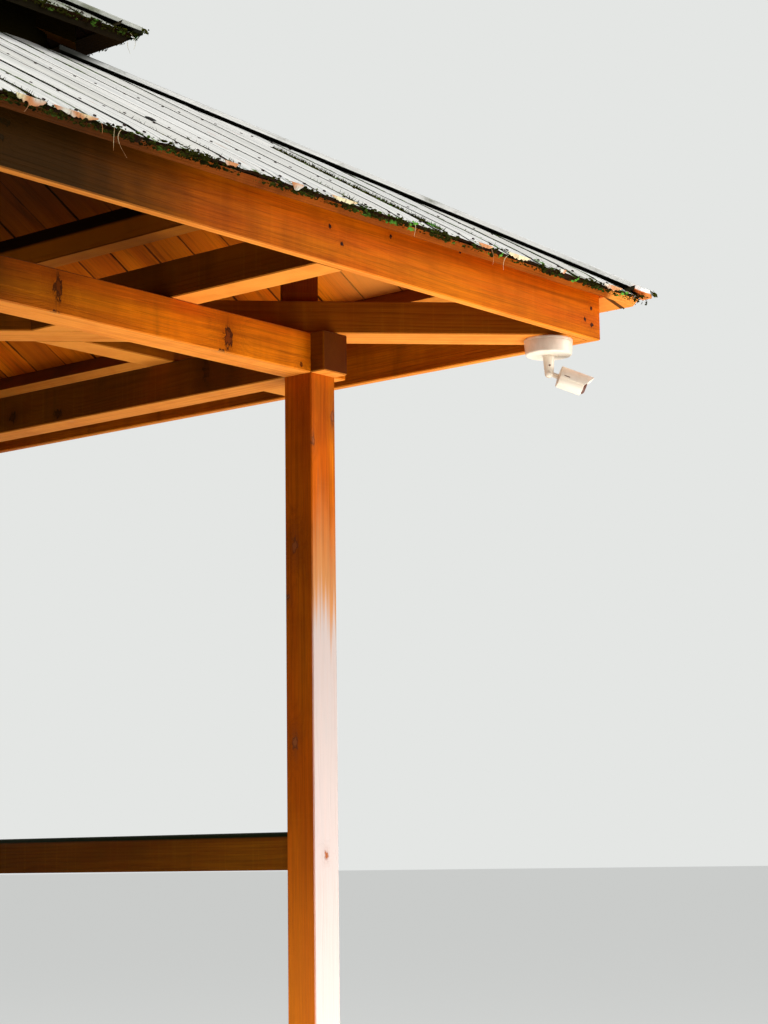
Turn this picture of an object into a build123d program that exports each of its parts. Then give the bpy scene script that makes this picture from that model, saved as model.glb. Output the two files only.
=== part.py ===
# Open timber rest shelter with a boarded pyramid roof in two tiers.
# Origin on the floor under the plan centre, +Z up. The front is open and faces -Y; the right side is +X.
# The front, right, back and left pieces are the same piece turned about Z, unless a note says otherwise.
from build123d import *
import math
import os

os.makedirs("parts", exist_ok=True)

# Plan and section of the timbers
post_spacing = 2700.0
timber = 105.0
arris = 3.0
lap_gap = 0.3
floor_to_beam = 2345.0
beam_depth = 118.0
beam_nose = 50.0
tenon = 40.0
tenon_height = 90.0
tenon_gap = 0.5

# Footings
stone_base = 250.0
stone_top = 190.0
stone_height = 120.0

# Timbers lying on the beams
diagonal_width = 135.0
diagonal_depth = 96.0
arm_inset = 565.0
fascia_reach = 612.0
fascia_depth = 140.0
fascia_thick = 30.0

# Lower roof: two layers of boards on purlins, with a batten under the tips of the upper layer
roof_rise = 0.59
eave_overhang = 113.0
boards_over_fascia = 15.0
board_thick = 18.0
batten_setback = 22.0
batten_width = 60.0
batten_thick = 24.0
mitre_gap = 1.0
hip_width = 75.0
hip_depth = 95.0
strut_size = 105.0
strut_inset = 29.0
cap_width = 84.0
cap_thick = 14.0
cap_lift = 10.0
packer_width = 48.0
cap_start = 40.0

# Purlins: two upright ones, their depth measured at the inner face, and a square one laid to the slope
purlin_width = 75.0
post_purlin_depth = 108.0
top_purlin_depth = 115.0
eave_purlin_out = 542.0
eave_purlin_size = 60.0

# Raised upper tier
wall_half = 803.0
wall_thick = 24.0
frame_width = 75.0
upper_half = 1004.0
tier_gap = 160.0
upper_hip_width = 60.0
upper_hip_depth = 80.0
upper_hip_tail = 60.0
king_post_size = 120.0
apex_size = 210.0
apex_block = 90.0
apex_height = 150.0
apex_skirt = 36.0

# Handrails and benches
rail_bottom = 919.0
rail_height = 108.0
rail_thick = 90.0
rail_round = 26.0
seat_top = 440.0
seat_depth = 400.0
seat_thick = 45.0
seat_round = 8.0
seat_bearing = 32.0
leg_thick = 90.0
leg_setback = 45.0
leg_inset = 220.0

# Security camera under the diagonal: drum, panning neck with a fork, tilting body on a lug
fixture_out = 502.0
base_radius = 72.0
base_taper = 3.0
base_height = 48.0
base_lip = 6.0
neck_top_radius = 17.0
neck_radius = 13.5
neck_drop = 53.0
pan_gap = 0.3
pin_radius = 3.5
lug_thick = 10.0
lug_radius = 11.0
lug_swing = 1.5
fork_gap = 0.3
link_depth = 14.0
link_length = 30.0
body_radius = 31.0
body_length = 77.0
body_edge = 4.0
body_tilt = 20.0
hood_thick = 3.0
hood_length = 103.0
hood_side_length = 77.0
hood_below_axis = 6.0
lens_recess = 25.0
lens_radius = 13.0
recess_depth = 8.0
lens_height = 4.0

half = post_spacing / 2
post_face = half - timber / 2
beam_top = floor_to_beam + beam_depth
fascia_out = half + fascia_reach
fascia_in = fascia_out - fascia_thick
fascia_top = beam_top + fascia_depth
slope = math.atan(roof_rise)
roof_thick = 2 * board_thick
drop = roof_thick / math.cos(slope)
eave_half = fascia_out + eave_overhang
eave_top = fascia_top + boards_over_fascia + drop - roof_rise * eave_overhang
batten_outer = eave_half - batten_setback * math.cos(slope)
far = 2 * eave_half
high = 3 * floor_to_beam


def roof_z(u):
    """Height of the lower roof's top surface at u from the plan centre."""
    return eave_top + roof_rise * (eave_half - u)


def upper_z(u):
    """Height of the upper roof's top surface, the lower slope raised by the tier gap."""
    return roof_z(u) + tier_gap


def turned(shape, quarter):
    return Rot(0, 0, 90 * quarter) * shape


def box(x0, x1, y0, y1, z0, z1):
    return Pos((x0 + x1) / 2, (y0 + y1) / 2, (z0 + z1) / 2) * Box(x1 - x0, y1 - y0, z1 - z0)


def square(reach, z0, z1):
    return box(-reach, reach, -reach, reach, z0, z1)


def planed(shape):
    """Takes the arrises off a squared timber."""
    return chamfer(shape.edges(), arris)


def profile_along_x(points, half_length):
    """Extrudes a Y-Z outline both ways along X."""
    face = make_face(Polyline(*[(0, y, z) for y, z in points], close=True))
    return extrude(face, half_length, dir=(1, 0, 0), both=True)


def mitre(offset):
    """Vertical wedge of the front side between the two diagonals, held clear of each by offset."""
    near = -offset * math.sqrt(2)
    face = make_face(Polyline((0, near), (far, near - far), (-far, near - far), close=True))
    return extrude(face, high, dir=(0, 0, 1))


def below(height, reach, low):
    """Volume under a four-sided roof surface, height(u), down to z = low."""
    edge = height(reach)
    outline = [(-reach, low), (-reach, edge), (0, height(0)), (reach, edge), (reach, low)]
    gable = profile_along_x(outline, reach)
    return gable & turned(gable, 1)


def diagonal(width, z0, z1, r0, r1):
    """Bar along the front-right diagonal from r0 to r1 measured in plan."""
    return Rot(0, 0, -45) * box(r0, r1, -width / 2, width / 2, z0, z1)


def keep(shape):
    solids = shape.solids()
    return solids[0] if len(solids) == 1 else Compound(children=list(solids))


def save(shape, name):
    export_step(shape, f"parts/{name}.step")


def save_four(shape, name):
    save(Compound(children=[turned(shape, i) for i in range(4)]), name)


sides = ["front", "right", "back", "left"]
under_lower = below(lambda u: roof_z(u) - drop, eave_half, 0)
under_upper = below(lambda u: upper_z(u) - drop, upper_half, 0)
on_roof = below(roof_z, eave_half, 0)
on_upper = below(upper_z, upper_half, 0)

# Footing stones and posts. A tenon on each post rises through the lapped beams.
corners = {"front_right": (1, -1), "front_left": (-1, -1), "back_right": (1, 1), "back_left": (-1, 1)}
batter = math.degrees(math.atan((stone_base - stone_top) / 2 / stone_height))
stone = extrude(Rectangle(stone_base, stone_base), stone_height, taper=batter)
stones = []
for name, (sx, sy) in corners.items():
    stones.append(Pos(sx * half, sy * half, 0) * stone)
    shaft = chamfer(square(timber / 2, stone_height, floor_to_beam).edges().filter_by(Axis.Z), arris)
    peg = square(tenon / 2, floor_to_beam, floor_to_beam + tenon_height)
    save(Pos(sx * half, sy * half, 0) * (shaft + peg), f"{name}_post")
save(Compound(children=stones), "base_stones")

# Perimeter beams, cross-lapped at the corners: the front and back pair is notched from below.
beam_end = half + timber / 2 + beam_nose
lap_z = floor_to_beam + beam_depth / 2
lap = timber / 2 + lap_gap
socket = tenon / 2 + tenon_gap
for i, side in enumerate(sides):
    beam = planed(box(-beam_end, beam_end, -half - timber / 2, -half + timber / 2, floor_to_beam, beam_top))
    notched = (0, lap_z) if i % 2 == 0 else (lap_z, high)
    for sx in (-1, 1):
        corner = Pos(sx * half, -half, 0)
        beam -= corner * box(-lap, lap, -timber, timber, *notched)
        beam -= corner * square(socket, 0, floor_to_beam + tenon_height + tenon_gap)
    save(keep(turned(beam, i)), f"{side}_beam")

# Diagonal beams, cross-lapped at the centre, each end cut to the inside corner of the fascia.
ends = square(fascia_in, 0, high)
diagonal_top = beam_top + diagonal_depth
diagonal_mid = beam_top + diagonal_depth / 2
rail_box = planed(box(-far, far, -diagonal_width / 2, diagonal_width / 2, beam_top, diagonal_top))
notch = diagonal_width / 2 + lap_gap
one = Rot(0, 0, -45) * (rail_box - box(-notch, notch, -far, far, 0, diagonal_mid)) & ends
other = Rot(0, 0, 45) * (rail_box - box(-notch, notch, -far, far, diagonal_mid, high)) & ends
save(keep(one), "diagonal_beam_1")
save(keep(other), "diagonal_beam_2")

# Arms across the beams from the diagonal to the fascia, two to a side.
arm_axis = half - arm_inset
arm_top = beam_top + timber
clear_of_diagonal = mitre(diagonal_width / 2)
arms = []
for i in range(4):
    for x in (-arm_axis, arm_axis):
        arm = planed(box(x - timber / 2, x + timber / 2, -fascia_in, 0, beam_top, arm_top))
        arms.append(turned((arm & clear_of_diagonal).solids()[0], i))
save(Compound(children=arms), "outrigger_arms")

# Fascia boards, mitred at the corners.
board = box(-fascia_out, fascia_out, -fascia_out, -fascia_in, beam_top, fascia_top)
board = chamfer(board.edges().filter_by(Axis.X), arris) & mitre(0)
for i, side in enumerate(sides):
    save(keep(turned(board, i)), f"{side}_fascia")

# King post on the crossing of the diagonals, then the hip rafters notched round its arrises.
king = under_upper & square(king_post_size / 2, diagonal_top, high)
save(keep(king), "king_post")


def hip_bar(height, width, depth, u0, u1):
    """Rafter on the front-right diagonal under height(u), left full above it for its back to be cut."""
    outline = [(u * math.sqrt(2), height(u) + depth) for u in (u0, u1)]
    outline += [(u * math.sqrt(2), height(u) - depth) for u in (u1, u0)]
    face = make_face(Polyline(*[(r, 0, z) for r, z in outline], close=True))
    return Rot(0, 0, -45) * extrude(face, width / 2, dir=(0, 1, 0), both=True)


lower_hip = hip_bar(lambda u: roof_z(u) - drop, hip_width, hip_depth, 0, fascia_in) & under_lower & ends
lower_hip = (lower_hip - king).solids().sort_by(SortBy.VOLUME)[-1]
lower_hip &= box(0, far, -far, 0, diagonal_top, high)
lower_hip = lower_hip.solids()[0]
save_four(lower_hip, "hip_rafters")

hip_end = wall_half + upper_hip_tail
upper_hip = hip_bar(lambda u: upper_z(u) - drop, upper_hip_width, upper_hip_depth, 0, hip_end) & under_upper
upper_hip = (upper_hip - king).solids().sort_by(SortBy.VOLUME)[-1]
save_four(upper_hip, "upper_hip_rafters")

def under_surface(height, u, depth):
    """Point of the front slope's section, depth below its top surface and square to it."""
    return (-u + depth * math.sin(slope), height(u) - depth * math.cos(slope))


def slope_strip(height, outer, width, depth, thick):
    """Strip laid to the slope, depth below its top surface, from the strip's outer edge inwards."""
    inner = outer - width * math.cos(slope)
    places = [(outer, depth), (outer, depth + thick), (inner, depth + thick), (inner, depth)]
    return profile_along_x([under_surface(height, u, d) for u, d in places], far)


# Purlins under each slope, the upright ones with their backs cut to the boards. Hip rafters stop their ends.
between_hips = mitre(hip_width / 2)
top_axis = wall_half - purlin_width / 2
purlins = []
for axis, depth in [(half, post_purlin_depth), (top_axis, top_purlin_depth)]:
    low = roof_z(axis - purlin_width / 2) - drop - depth
    bar = box(-far, far, -axis - purlin_width / 2, -axis + purlin_width / 2, low, high)
    purlins.append((bar & under_lower & between_hips).solids()[0])
eave_bar = slope_strip(roof_z, half + eave_purlin_out, eave_purlin_size, roof_thick, eave_purlin_size)
purlins.append((eave_bar & between_hips).solids()[0])
for i, side in enumerate(sides):
    save(Compound(children=[turned(purlin, i) for purlin in purlins]), f"{side}_purlins")

# Struts on the diagonals by the posts, cut to the hip rafter with a shoulder for each purlin end.
strut_r = half * math.sqrt(2) - strut_inset
column = diagonal(strut_size, diagonal_top, high, strut_r - strut_size / 2, strut_r + strut_size / 2)
under_hip = below(lambda u: roof_z(u) - drop - hip_depth, eave_half, 0)
hip_strut = (column & under_hip) - purlins[0] - turned(purlins[0], 1)
save_four(hip_strut.solids().sort_by(SortBy.VOLUME)[-1], "hip_struts")

# Blocks on the arms, their tops cut to the underside of the eave purlins.
pad = eave_purlin_size / 2
reach = pad * math.cos(slope)
block_axis = half + eave_purlin_out - reach - (roof_thick + eave_purlin_size) * math.sin(slope)
under_eave_bar = below(lambda u: roof_z(u) - drop - eave_purlin_size / math.cos(slope), eave_half, 0)
blocks = []
for i in range(4):
    for x in (-arm_axis, arm_axis):
        post = box(x - pad, x + pad, -block_axis - reach, -block_axis + reach, arm_top, high)
        blocks.append(turned(post & under_eave_bar, i))
save(Compound(children=blocks), "purlin_blocks")


def slope_boards(height, u0, u1):
    """One roof slope: the upper board layer, and the lower one that starts behind the batten."""
    behind = u1 - (batten_setback + batten_width) * math.cos(slope)
    outline = [under_surface(height, u1, 0), under_surface(height, u1, board_thick)]
    outline += [under_surface(height, behind, board_thick), under_surface(height, behind, roof_thick)]
    outline += [(-u0, height(u0) - drop), (-u0, height(u0))]
    return profile_along_x(outline, far)


def eave_batten(height, u1):
    """Strip under the tips of the upper boards."""
    outer = u1 - batten_setback * math.cos(slope)
    return slope_strip(height, outer, batten_width, board_thick, batten_thick)


lower_slope = slope_boards(roof_z, wall_half, eave_half) & mitre(0)
for i, side in enumerate(sides):
    save(keep(turned(lower_slope, i)), f"{side}_roof")
upper_slope = slope_boards(upper_z, 0, upper_half) & mitre(mitre_gap)
save_four(upper_slope.solids()[0], "upper_roof")

strips = [eave_batten(roof_z, eave_half), eave_batten(upper_z, upper_half)]
battens = [(strip & mitre(mitre_gap)).solids()[0] for strip in strips]
save(Compound(children=[turned(batten, i) for batten in battens for i in range(4)]), "eave_battens")


def hip_cap(height, reach, surface, start):
    """Cap board over the front-right hip, bent to both slopes and held off them by a narrower packer."""
    packer_top = below(lambda u: height(u) + cap_lift, reach, 0)
    board_top = below(lambda u: height(u) + cap_lift + cap_thick, reach, 0)
    board = (board_top - packer_top) & diagonal(cap_width, 0, high, start, far)
    packer = (packer_top - surface) & diagonal(packer_width, 0, high, start, far)
    return board + packer


start = wall_half * math.sqrt(2) + cap_start
save_four(keep(hip_cap(roof_z, eave_half, on_roof, start)), "hip_caps")
clear_of_apex = square(apex_size / 2, 0, high)
save_four(keep(hip_cap(upper_z, upper_half, on_upper, 0) - clear_of_apex), "upper_hip_caps")

# Upper tier: a ring of framing on the top purlins, boarded outside, under the small roof.
frame_out = wall_half - wall_thick
frame_in = frame_out - frame_width
ring_bottom = roof_z(wall_half - purlin_width) - drop
ring = (square(frame_out, ring_bottom, high) - square(frame_in, 0, high)) & under_upper
shell = (square(wall_half, roof_z(frame_out) - drop, high) - square(frame_out, 0, high)) & under_upper
for i in range(4):
    for hip in (turned(lower_hip, i), turned(upper_hip, i)):
        ring -= hip
        shell -= hip
save(keep(ring), "lantern_frame")
save(keep(shell), "lantern_walls")

# Cap over the point of the roof: a bent skirt and a square block.
skirt = below(lambda u: upper_z(u) + apex_skirt, apex_size / 2, 0)
block = square(apex_block / 2, upper_z(0), upper_z(0) + apex_height)
save(keep((skirt + block) - below(upper_z, apex_size, 0)), "apex_cap")

# Handrails between the posts on the three closed sides.
rail_top = rail_bottom + rail_height
rail = box(-post_face, post_face, -half - rail_thick / 2, -half + rail_thick / 2, rail_bottom, rail_top)
rail = fillet(rail.faces().sort_by(Axis.Z)[-1].edges().filter_by(Axis.X), rail_round)
for i in (1, 2, 3):
    save(turned(rail, i), f"{sides[i]}_rail")

# Benches inside the rails: seats on plank legs. The side seats butt on the posts, the back one on them.
seat_back = post_face + seat_bearing
seat_front = seat_back - seat_depth
legs = []
seat_under = seat_top - seat_thick
for i in (1, 2, 3):
    run = post_face if i != 2 else seat_front
    seat = box(-run, run, -seat_back, -seat_front, seat_under, seat_top)
    seat = fillet(seat.faces().sort_by(Axis.Z)[-1].edges().filter_by(Axis.X), seat_round)
    save(turned(seat, i), f"{sides[i]}_bench")
    for x in (-run + leg_inset, 0, run - leg_inset):
        near = -seat_back + leg_setback
        leg = box(x - leg_thick / 2, x + leg_thick / 2, near, -seat_front - leg_setback, 0, seat_under)
        legs.append(turned(leg, i))
save(Compound(children=legs), "bench_legs")


def lathe(points):
    """Revolves a radius-height outline about Z."""
    return revolve(make_face(Polyline(*[(r, 0, z) for r, z in points], close=True)), Axis.Z)


# Security camera. Its own frame has the origin on the beam's underside and X outward along the diagonal.
place = Pos(half + fixture_out, -half - fixture_out, beam_top) * Rot(0, 0, -45)
foot = base_radius - base_taper
drum = [(0, 0), (base_radius, 0), (foot, base_lip - base_height), (foot - base_lip, -base_height)]
drum.append((0, -base_height))
save(place * lathe(drum), "camera_base")

pivot_z = -base_height - neck_drop
slot = lug_thick / 2 + fork_gap
neck_top = -base_height - pan_gap
stem = lathe([(0, neck_top), (neck_top_radius, neck_top), (neck_radius, pivot_z), (0, pivot_z)])
rounded = Cylinder(neck_radius, 2 * neck_radius)
knuckle = Pos(0, 0, pivot_z) * (rounded & (Rot(90, 0, 0) * rounded))
pin_hole = Pos(0, 0, pivot_z) * Rot(90, 0, 0) * Cylinder(pin_radius, 3 * neck_radius)
cut = box(-far, far, -slot, slot, pivot_z - 2 * neck_radius, pivot_z + lug_radius + lug_swing)
save(place * keep(stem + knuckle - pin_hole - cut), "camera_neck")

body_front = link_length + body_length
barrel = Pos(link_length + body_length / 2, 0, 0) * Rot(0, 90, 0) * Cylinder(body_radius, body_length)
barrel = chamfer(barrel.edges().filter_by(GeomType.CIRCLE), body_edge)
recess = Pos(body_front, 0, 0) * Rot(0, 90, 0) * Cylinder(lens_recess, 2 * recess_depth)
lens = Rot(0, 90, 0) * Cylinder(lens_radius, lens_height)
lens = Pos(body_front - recess_depth + lens_height / 2, 0, 0) * lens
tube = Cylinder(body_radius + hood_thick, hood_length) - Cylinder(body_radius, hood_length)
hood = Pos(link_length + hood_length / 2, 0, 0) * Rot(0, 90, 0) * tube
top = body_radius + hood_thick
nose = link_length + hood_length
side = [(0, -hood_below_axis), (link_length + hood_side_length, -hood_below_axis), (nose, top), (0, top)]
silhouette = make_face(Polyline(*[(x, 0, z) for x, z in side], close=True))
hood &= extrude(silhouette, top, dir=(0, 1, 0), both=True)
link = box(0, link_length + body_edge, -lug_thick / 2, lug_thick / 2, -link_depth / 2, link_depth / 2)
lug = Rot(90, 0, 0) * Cylinder(lug_radius, lug_thick)
pin = Rot(90, 0, 0) * Cylinder(pin_radius - fork_gap, 2 * neck_radius)
body = barrel - recess + lens + hood + link + lug + pin
save(place * Pos(0, 0, pivot_z) * Rot(0, body_tilt, 0) * keep(body), "camera_body")
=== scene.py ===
import bpy
import bmesh
import math
import random
from mathutils import Euler, Matrix, Vector


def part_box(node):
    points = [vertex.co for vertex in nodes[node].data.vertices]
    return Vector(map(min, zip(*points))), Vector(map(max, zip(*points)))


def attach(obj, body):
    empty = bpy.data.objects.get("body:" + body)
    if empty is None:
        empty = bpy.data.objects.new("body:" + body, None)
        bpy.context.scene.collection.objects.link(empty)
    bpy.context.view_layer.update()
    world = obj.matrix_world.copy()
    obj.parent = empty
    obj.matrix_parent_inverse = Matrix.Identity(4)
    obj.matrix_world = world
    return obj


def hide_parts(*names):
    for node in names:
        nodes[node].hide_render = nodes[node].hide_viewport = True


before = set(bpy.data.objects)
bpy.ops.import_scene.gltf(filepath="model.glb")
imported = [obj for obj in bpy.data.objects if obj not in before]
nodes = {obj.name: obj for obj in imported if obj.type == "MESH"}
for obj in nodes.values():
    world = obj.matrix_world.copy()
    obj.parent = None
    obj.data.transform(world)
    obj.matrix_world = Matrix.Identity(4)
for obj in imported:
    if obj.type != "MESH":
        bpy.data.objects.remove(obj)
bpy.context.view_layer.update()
scene = bpy.context.scene
sides = ["front", "right", "back", "left"]
roofRise = 0.59
print("frame loaded:", len(nodes), "nodes")


# Node helpers. They build in the tree that was opened last. A value is a number, a tuple or another node's
# output. Three numbers for a colour are its screen values 0-255, one number for a vector goes to all axes.
canvas = {"tree": None}


def shade(red, green, blue):
    levels = [channel / 255 for channel in (red, green, blue)]
    return tuple(v / 12.92 if v <= 0.04045 else ((v + 0.055) / 1.055) ** 2.4 for v in levels) + (1,)


def plug(socket, value):
    if isinstance(value, bpy.types.NodeSocket):
        canvas["tree"].links.new(value, socket)
        return
    if socket.type == "RGBA" and value is not None and len(value) == 3:
        value = shade(*value)
    if socket.type == "VECTOR" and isinstance(value, (int, float)):
        value = (value, value, value)
    if value is not None:
        socket.default_value = value


# Inputs are named, or numbered as i0, i1 where several share one name
def add(kind, settings=None, **values):
    made = canvas["tree"].nodes.new(kind if kind[:8] in ("Geometry", "Function") else "ShaderNode" + kind)
    for key, value in (settings or {}).items():
        setattr(made, key, value)
    for key, value in values.items():
        numbered = key[0] == "i" and key[1:].isdigit()
        plug(made.inputs[int(key[1:])] if numbered else made.inputs[key.replace("_", " ")], value)
    return made


def calc(action, a, b=None, c=None):
    return add("Math", {"operation": action}, i0=a, i1=b, i2=c).outputs[0]


def maths(action):
    return lambda *values: calc(action, *values)


mul, mulAdd, plus, minus, over, least, most, absolute = map(maths,
    ("MULTIPLY", "MULTIPLY_ADD", "ADD", "SUBTRACT", "DIVIDE", "MINIMUM", "MAXIMUM", "ABSOLUTE"))


def bell(value):
    return calc("EXPONENT", mul(mul(value, value), -1))


def vector(action, a, b=None, scale=None):
    made = add("VectorMath", {"operation": action}, i0=a, i1=b, i3=scale)
    return made.outputs["Value"] if action in ("LENGTH", "DOT_PRODUCT") else made.outputs[0]


def join(x, y, z):
    return add("CombineXYZ", i0=x, i1=y, i2=z).outputs[0]


def split(value):
    return add("SeparateXYZ", i0=value).outputs


# Rises softly from 0 at low to the given height at high; low may be the larger one
def smooth(value, low, high, height=None):
    made = add("MapRange", {"interpolation_type": "SMOOTHSTEP"}, Value=value, From_Min=low, From_Max=high)
    return made.outputs[0] if height is None else mul(made.outputs[0], height)


def noise(place, stretch, detail=2.0, rough=0.5, output="Fac"):
    spread = vector("MULTIPLY", place, stretch)
    return add("TexNoise", Vector=spread, Scale=1.0, Detail=detail, Roughness=rough).outputs[output]


def blend(amount, a, b):
    return add("Mix", {"data_type": "RGBA"}, i0=amount, i6=a, i7=b).outputs[2]


# Coats of colour over each other, each as its mask and its colour
def layered(color, *coats):
    for mask, coat in coats:
        color = blend(mask, color, coat)
    return color


def either(amount, a, b):
    return add("Mix", {"data_type": "VECTOR"}, i0=amount, i4=a, i5=b).outputs[1]


def ramp(amount, stops):
    made = add("ValToRGB", Fac=amount)
    bar = made.color_ramp
    while len(bar.elements) < len(stops):
        bar.elements.new(0.5)
    for element, (position, level) in zip(bar.elements, stops):
        element.position = position
        element.color = (level, level, level, 1)
    return made.outputs["Color"]


# Inputs have a default or the name of their kind, outputs the name of their kind
def newGroup(name, kind, inputs, outputs):
    tree = canvas["tree"] = bpy.data.node_groups.new(name, kind + "NodeTree")
    for label, value in inputs.items():
        sort = value if isinstance(value, str) else {int: "Int", float: "Float", tuple: "Color"}[type(value)]
        socket = tree.interface.new_socket(label, in_out="INPUT", socket_type="NodeSocket" + sort)
        if sort != value:
            socket.default_value = shade(*value) if sort == "Color" else value
    for label, sort in outputs.items():
        tree.interface.new_socket(label, in_out="OUTPUT", socket_type="NodeSocket" + sort)
    given = tree.nodes.new("NodeGroupInput").outputs
    result = tree.nodes.new("NodeGroupOutput").inputs
    return tree, given, result


def use(group, **values):
    kind = "Group" if group.bl_idname == "ShaderNodeTree" else "GeometryNodeGroup"
    return add(kind, {"node_tree": group}, **values).outputs


# Camera at the photo's viewpoint: standing at the open front, looking up at the right front corner
photoView = {
    "place": (-3.548, -5.7346, 0.9265),
    "focalPixels": 2289.0,
    "imageHeight": 1024.0,
    "turn": 39.972,
    "rise": 8.8,
    "roll": 0.708,
}


def placeCamera(view):
    lens = bpy.data.cameras.new("photoCamera")
    lens.sensor_width = 36.0
    lens.lens = view["focalPixels"] / view["imageHeight"] * lens.sensor_width
    camera = bpy.data.objects.new("photoCamera", lens)
    scene.collection.objects.link(camera)
    turn = Matrix.Rotation(math.radians(view["turn"] - 90), 4, "Z")
    rise = Matrix.Rotation(math.radians(90 + view["rise"]), 4, "X")
    roll = Matrix.Rotation(math.radians(-view["roll"]), 4, "Z")
    camera.rotation_euler = (turn @ rise @ roll).to_euler()
    camera.location = view["place"]
    scene.camera = camera


placeCamera(photoView)

# Soft studio: a dim sky, a broad light on the front, a low one that stands for light off the ground
studio = {
    "sky": 0.18,
    "skyColor": (0.96, 0.98, 1.0, 1),
    "backdrop": (228, 230, 228),
    "floor": (226, 225, 221),
    "floorGlow": 0.68,
    "floorReach": 450.0,
}
lamps = {
    "keyPanel": {"place": (4.7, -5.8, 3.0), "aim": (1.1, -1.4, 2.3), "size": (3.0, 2.8), "watts": 198.0},
    "lowPanel": {"place": (2.0, -2.5, 0.03), "aim": (2.0, -2.5, 2.6), "size": (3.0, 2.2), "watts": 98.0},
    "topPanel": {"place": (-3.4, -3.6, 8.2), "aim": (0.3, -0.3, 2.5), "size": (5.0, 5.0), "watts": 420.0},
    "backPanel": {"place": (-2.0, 8.5, 5.5), "aim": (0.0, 0.5, 2.4), "size": (6.0, 4.0), "watts": 140.0},
}


# Camera, glossy and clear rays see the second shader, everything else the first
def twofold(kind, plain, shown, share):
    path = add("LightPath").outputs
    seen = most(most(path["Is Camera Ray"], path["Is Glossy Ray"]), path["Is Transmission Ray"])
    mixed = add("MixShader", i0=mul(seen, share), i1=plain.outputs[0], i2=shown.outputs[0])
    add("Output" + kind, Surface=mixed.outputs[0])


def openTree(holder):
    holder.use_nodes = True
    canvas["tree"] = holder.node_tree
    holder.node_tree.nodes.clear()


def makeStudio():
    scene.world = bpy.data.worlds.new("studioSky")
    openTree(scene.world)
    twofold("World", add("Background", Color=studio["skyColor"], Strength=studio["sky"]),
            add("Background", Color=studio["backdrop"], Strength=1.0), 1.0)
    for name, lamp in lamps.items():
        panel = bpy.data.lights.new(name, "AREA")
        panel.shape = "RECTANGLE"
        panel.size, panel.size_y = lamp["size"]
        panel.energy = lamp["watts"]
        holder = bpy.data.objects.new(name, panel)
        holder.location = lamp["place"]
        aim = Vector(lamp["aim"]) - Vector(lamp["place"])
        holder.rotation_euler = aim.to_track_quat("-Z", "Y").to_euler()
        holder.visible_camera = False
        scene.collection.objects.link(holder)
    floorMesh = bpy.data.meshes.new("studioFloor")
    reach = studio["floorReach"]
    square = [(x * reach, y * reach, 0) for x, y in ((-1, -1), (1, -1), (1, 1), (-1, 1))]
    floorMesh.from_pydata(square, [], [(0, 1, 2, 3)])
    floor = bpy.data.objects.new("studioFloor", floorMesh)
    scene.collection.objects.link(floor)
    paint = bpy.data.materials.new("studioFloor")
    openTree(paint)
    twofold("Material", add("BsdfPrincipled", Base_Color=studio["floor"], Roughness=0.9),
            add("Emission", Color=studio["backdrop"], Strength=1.0), studio["floorGlow"])
    floorMesh.materials.append(paint)
    scene.view_settings.view_transform = "Standard"


makeStudio()
print("studio and camera placed")


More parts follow.
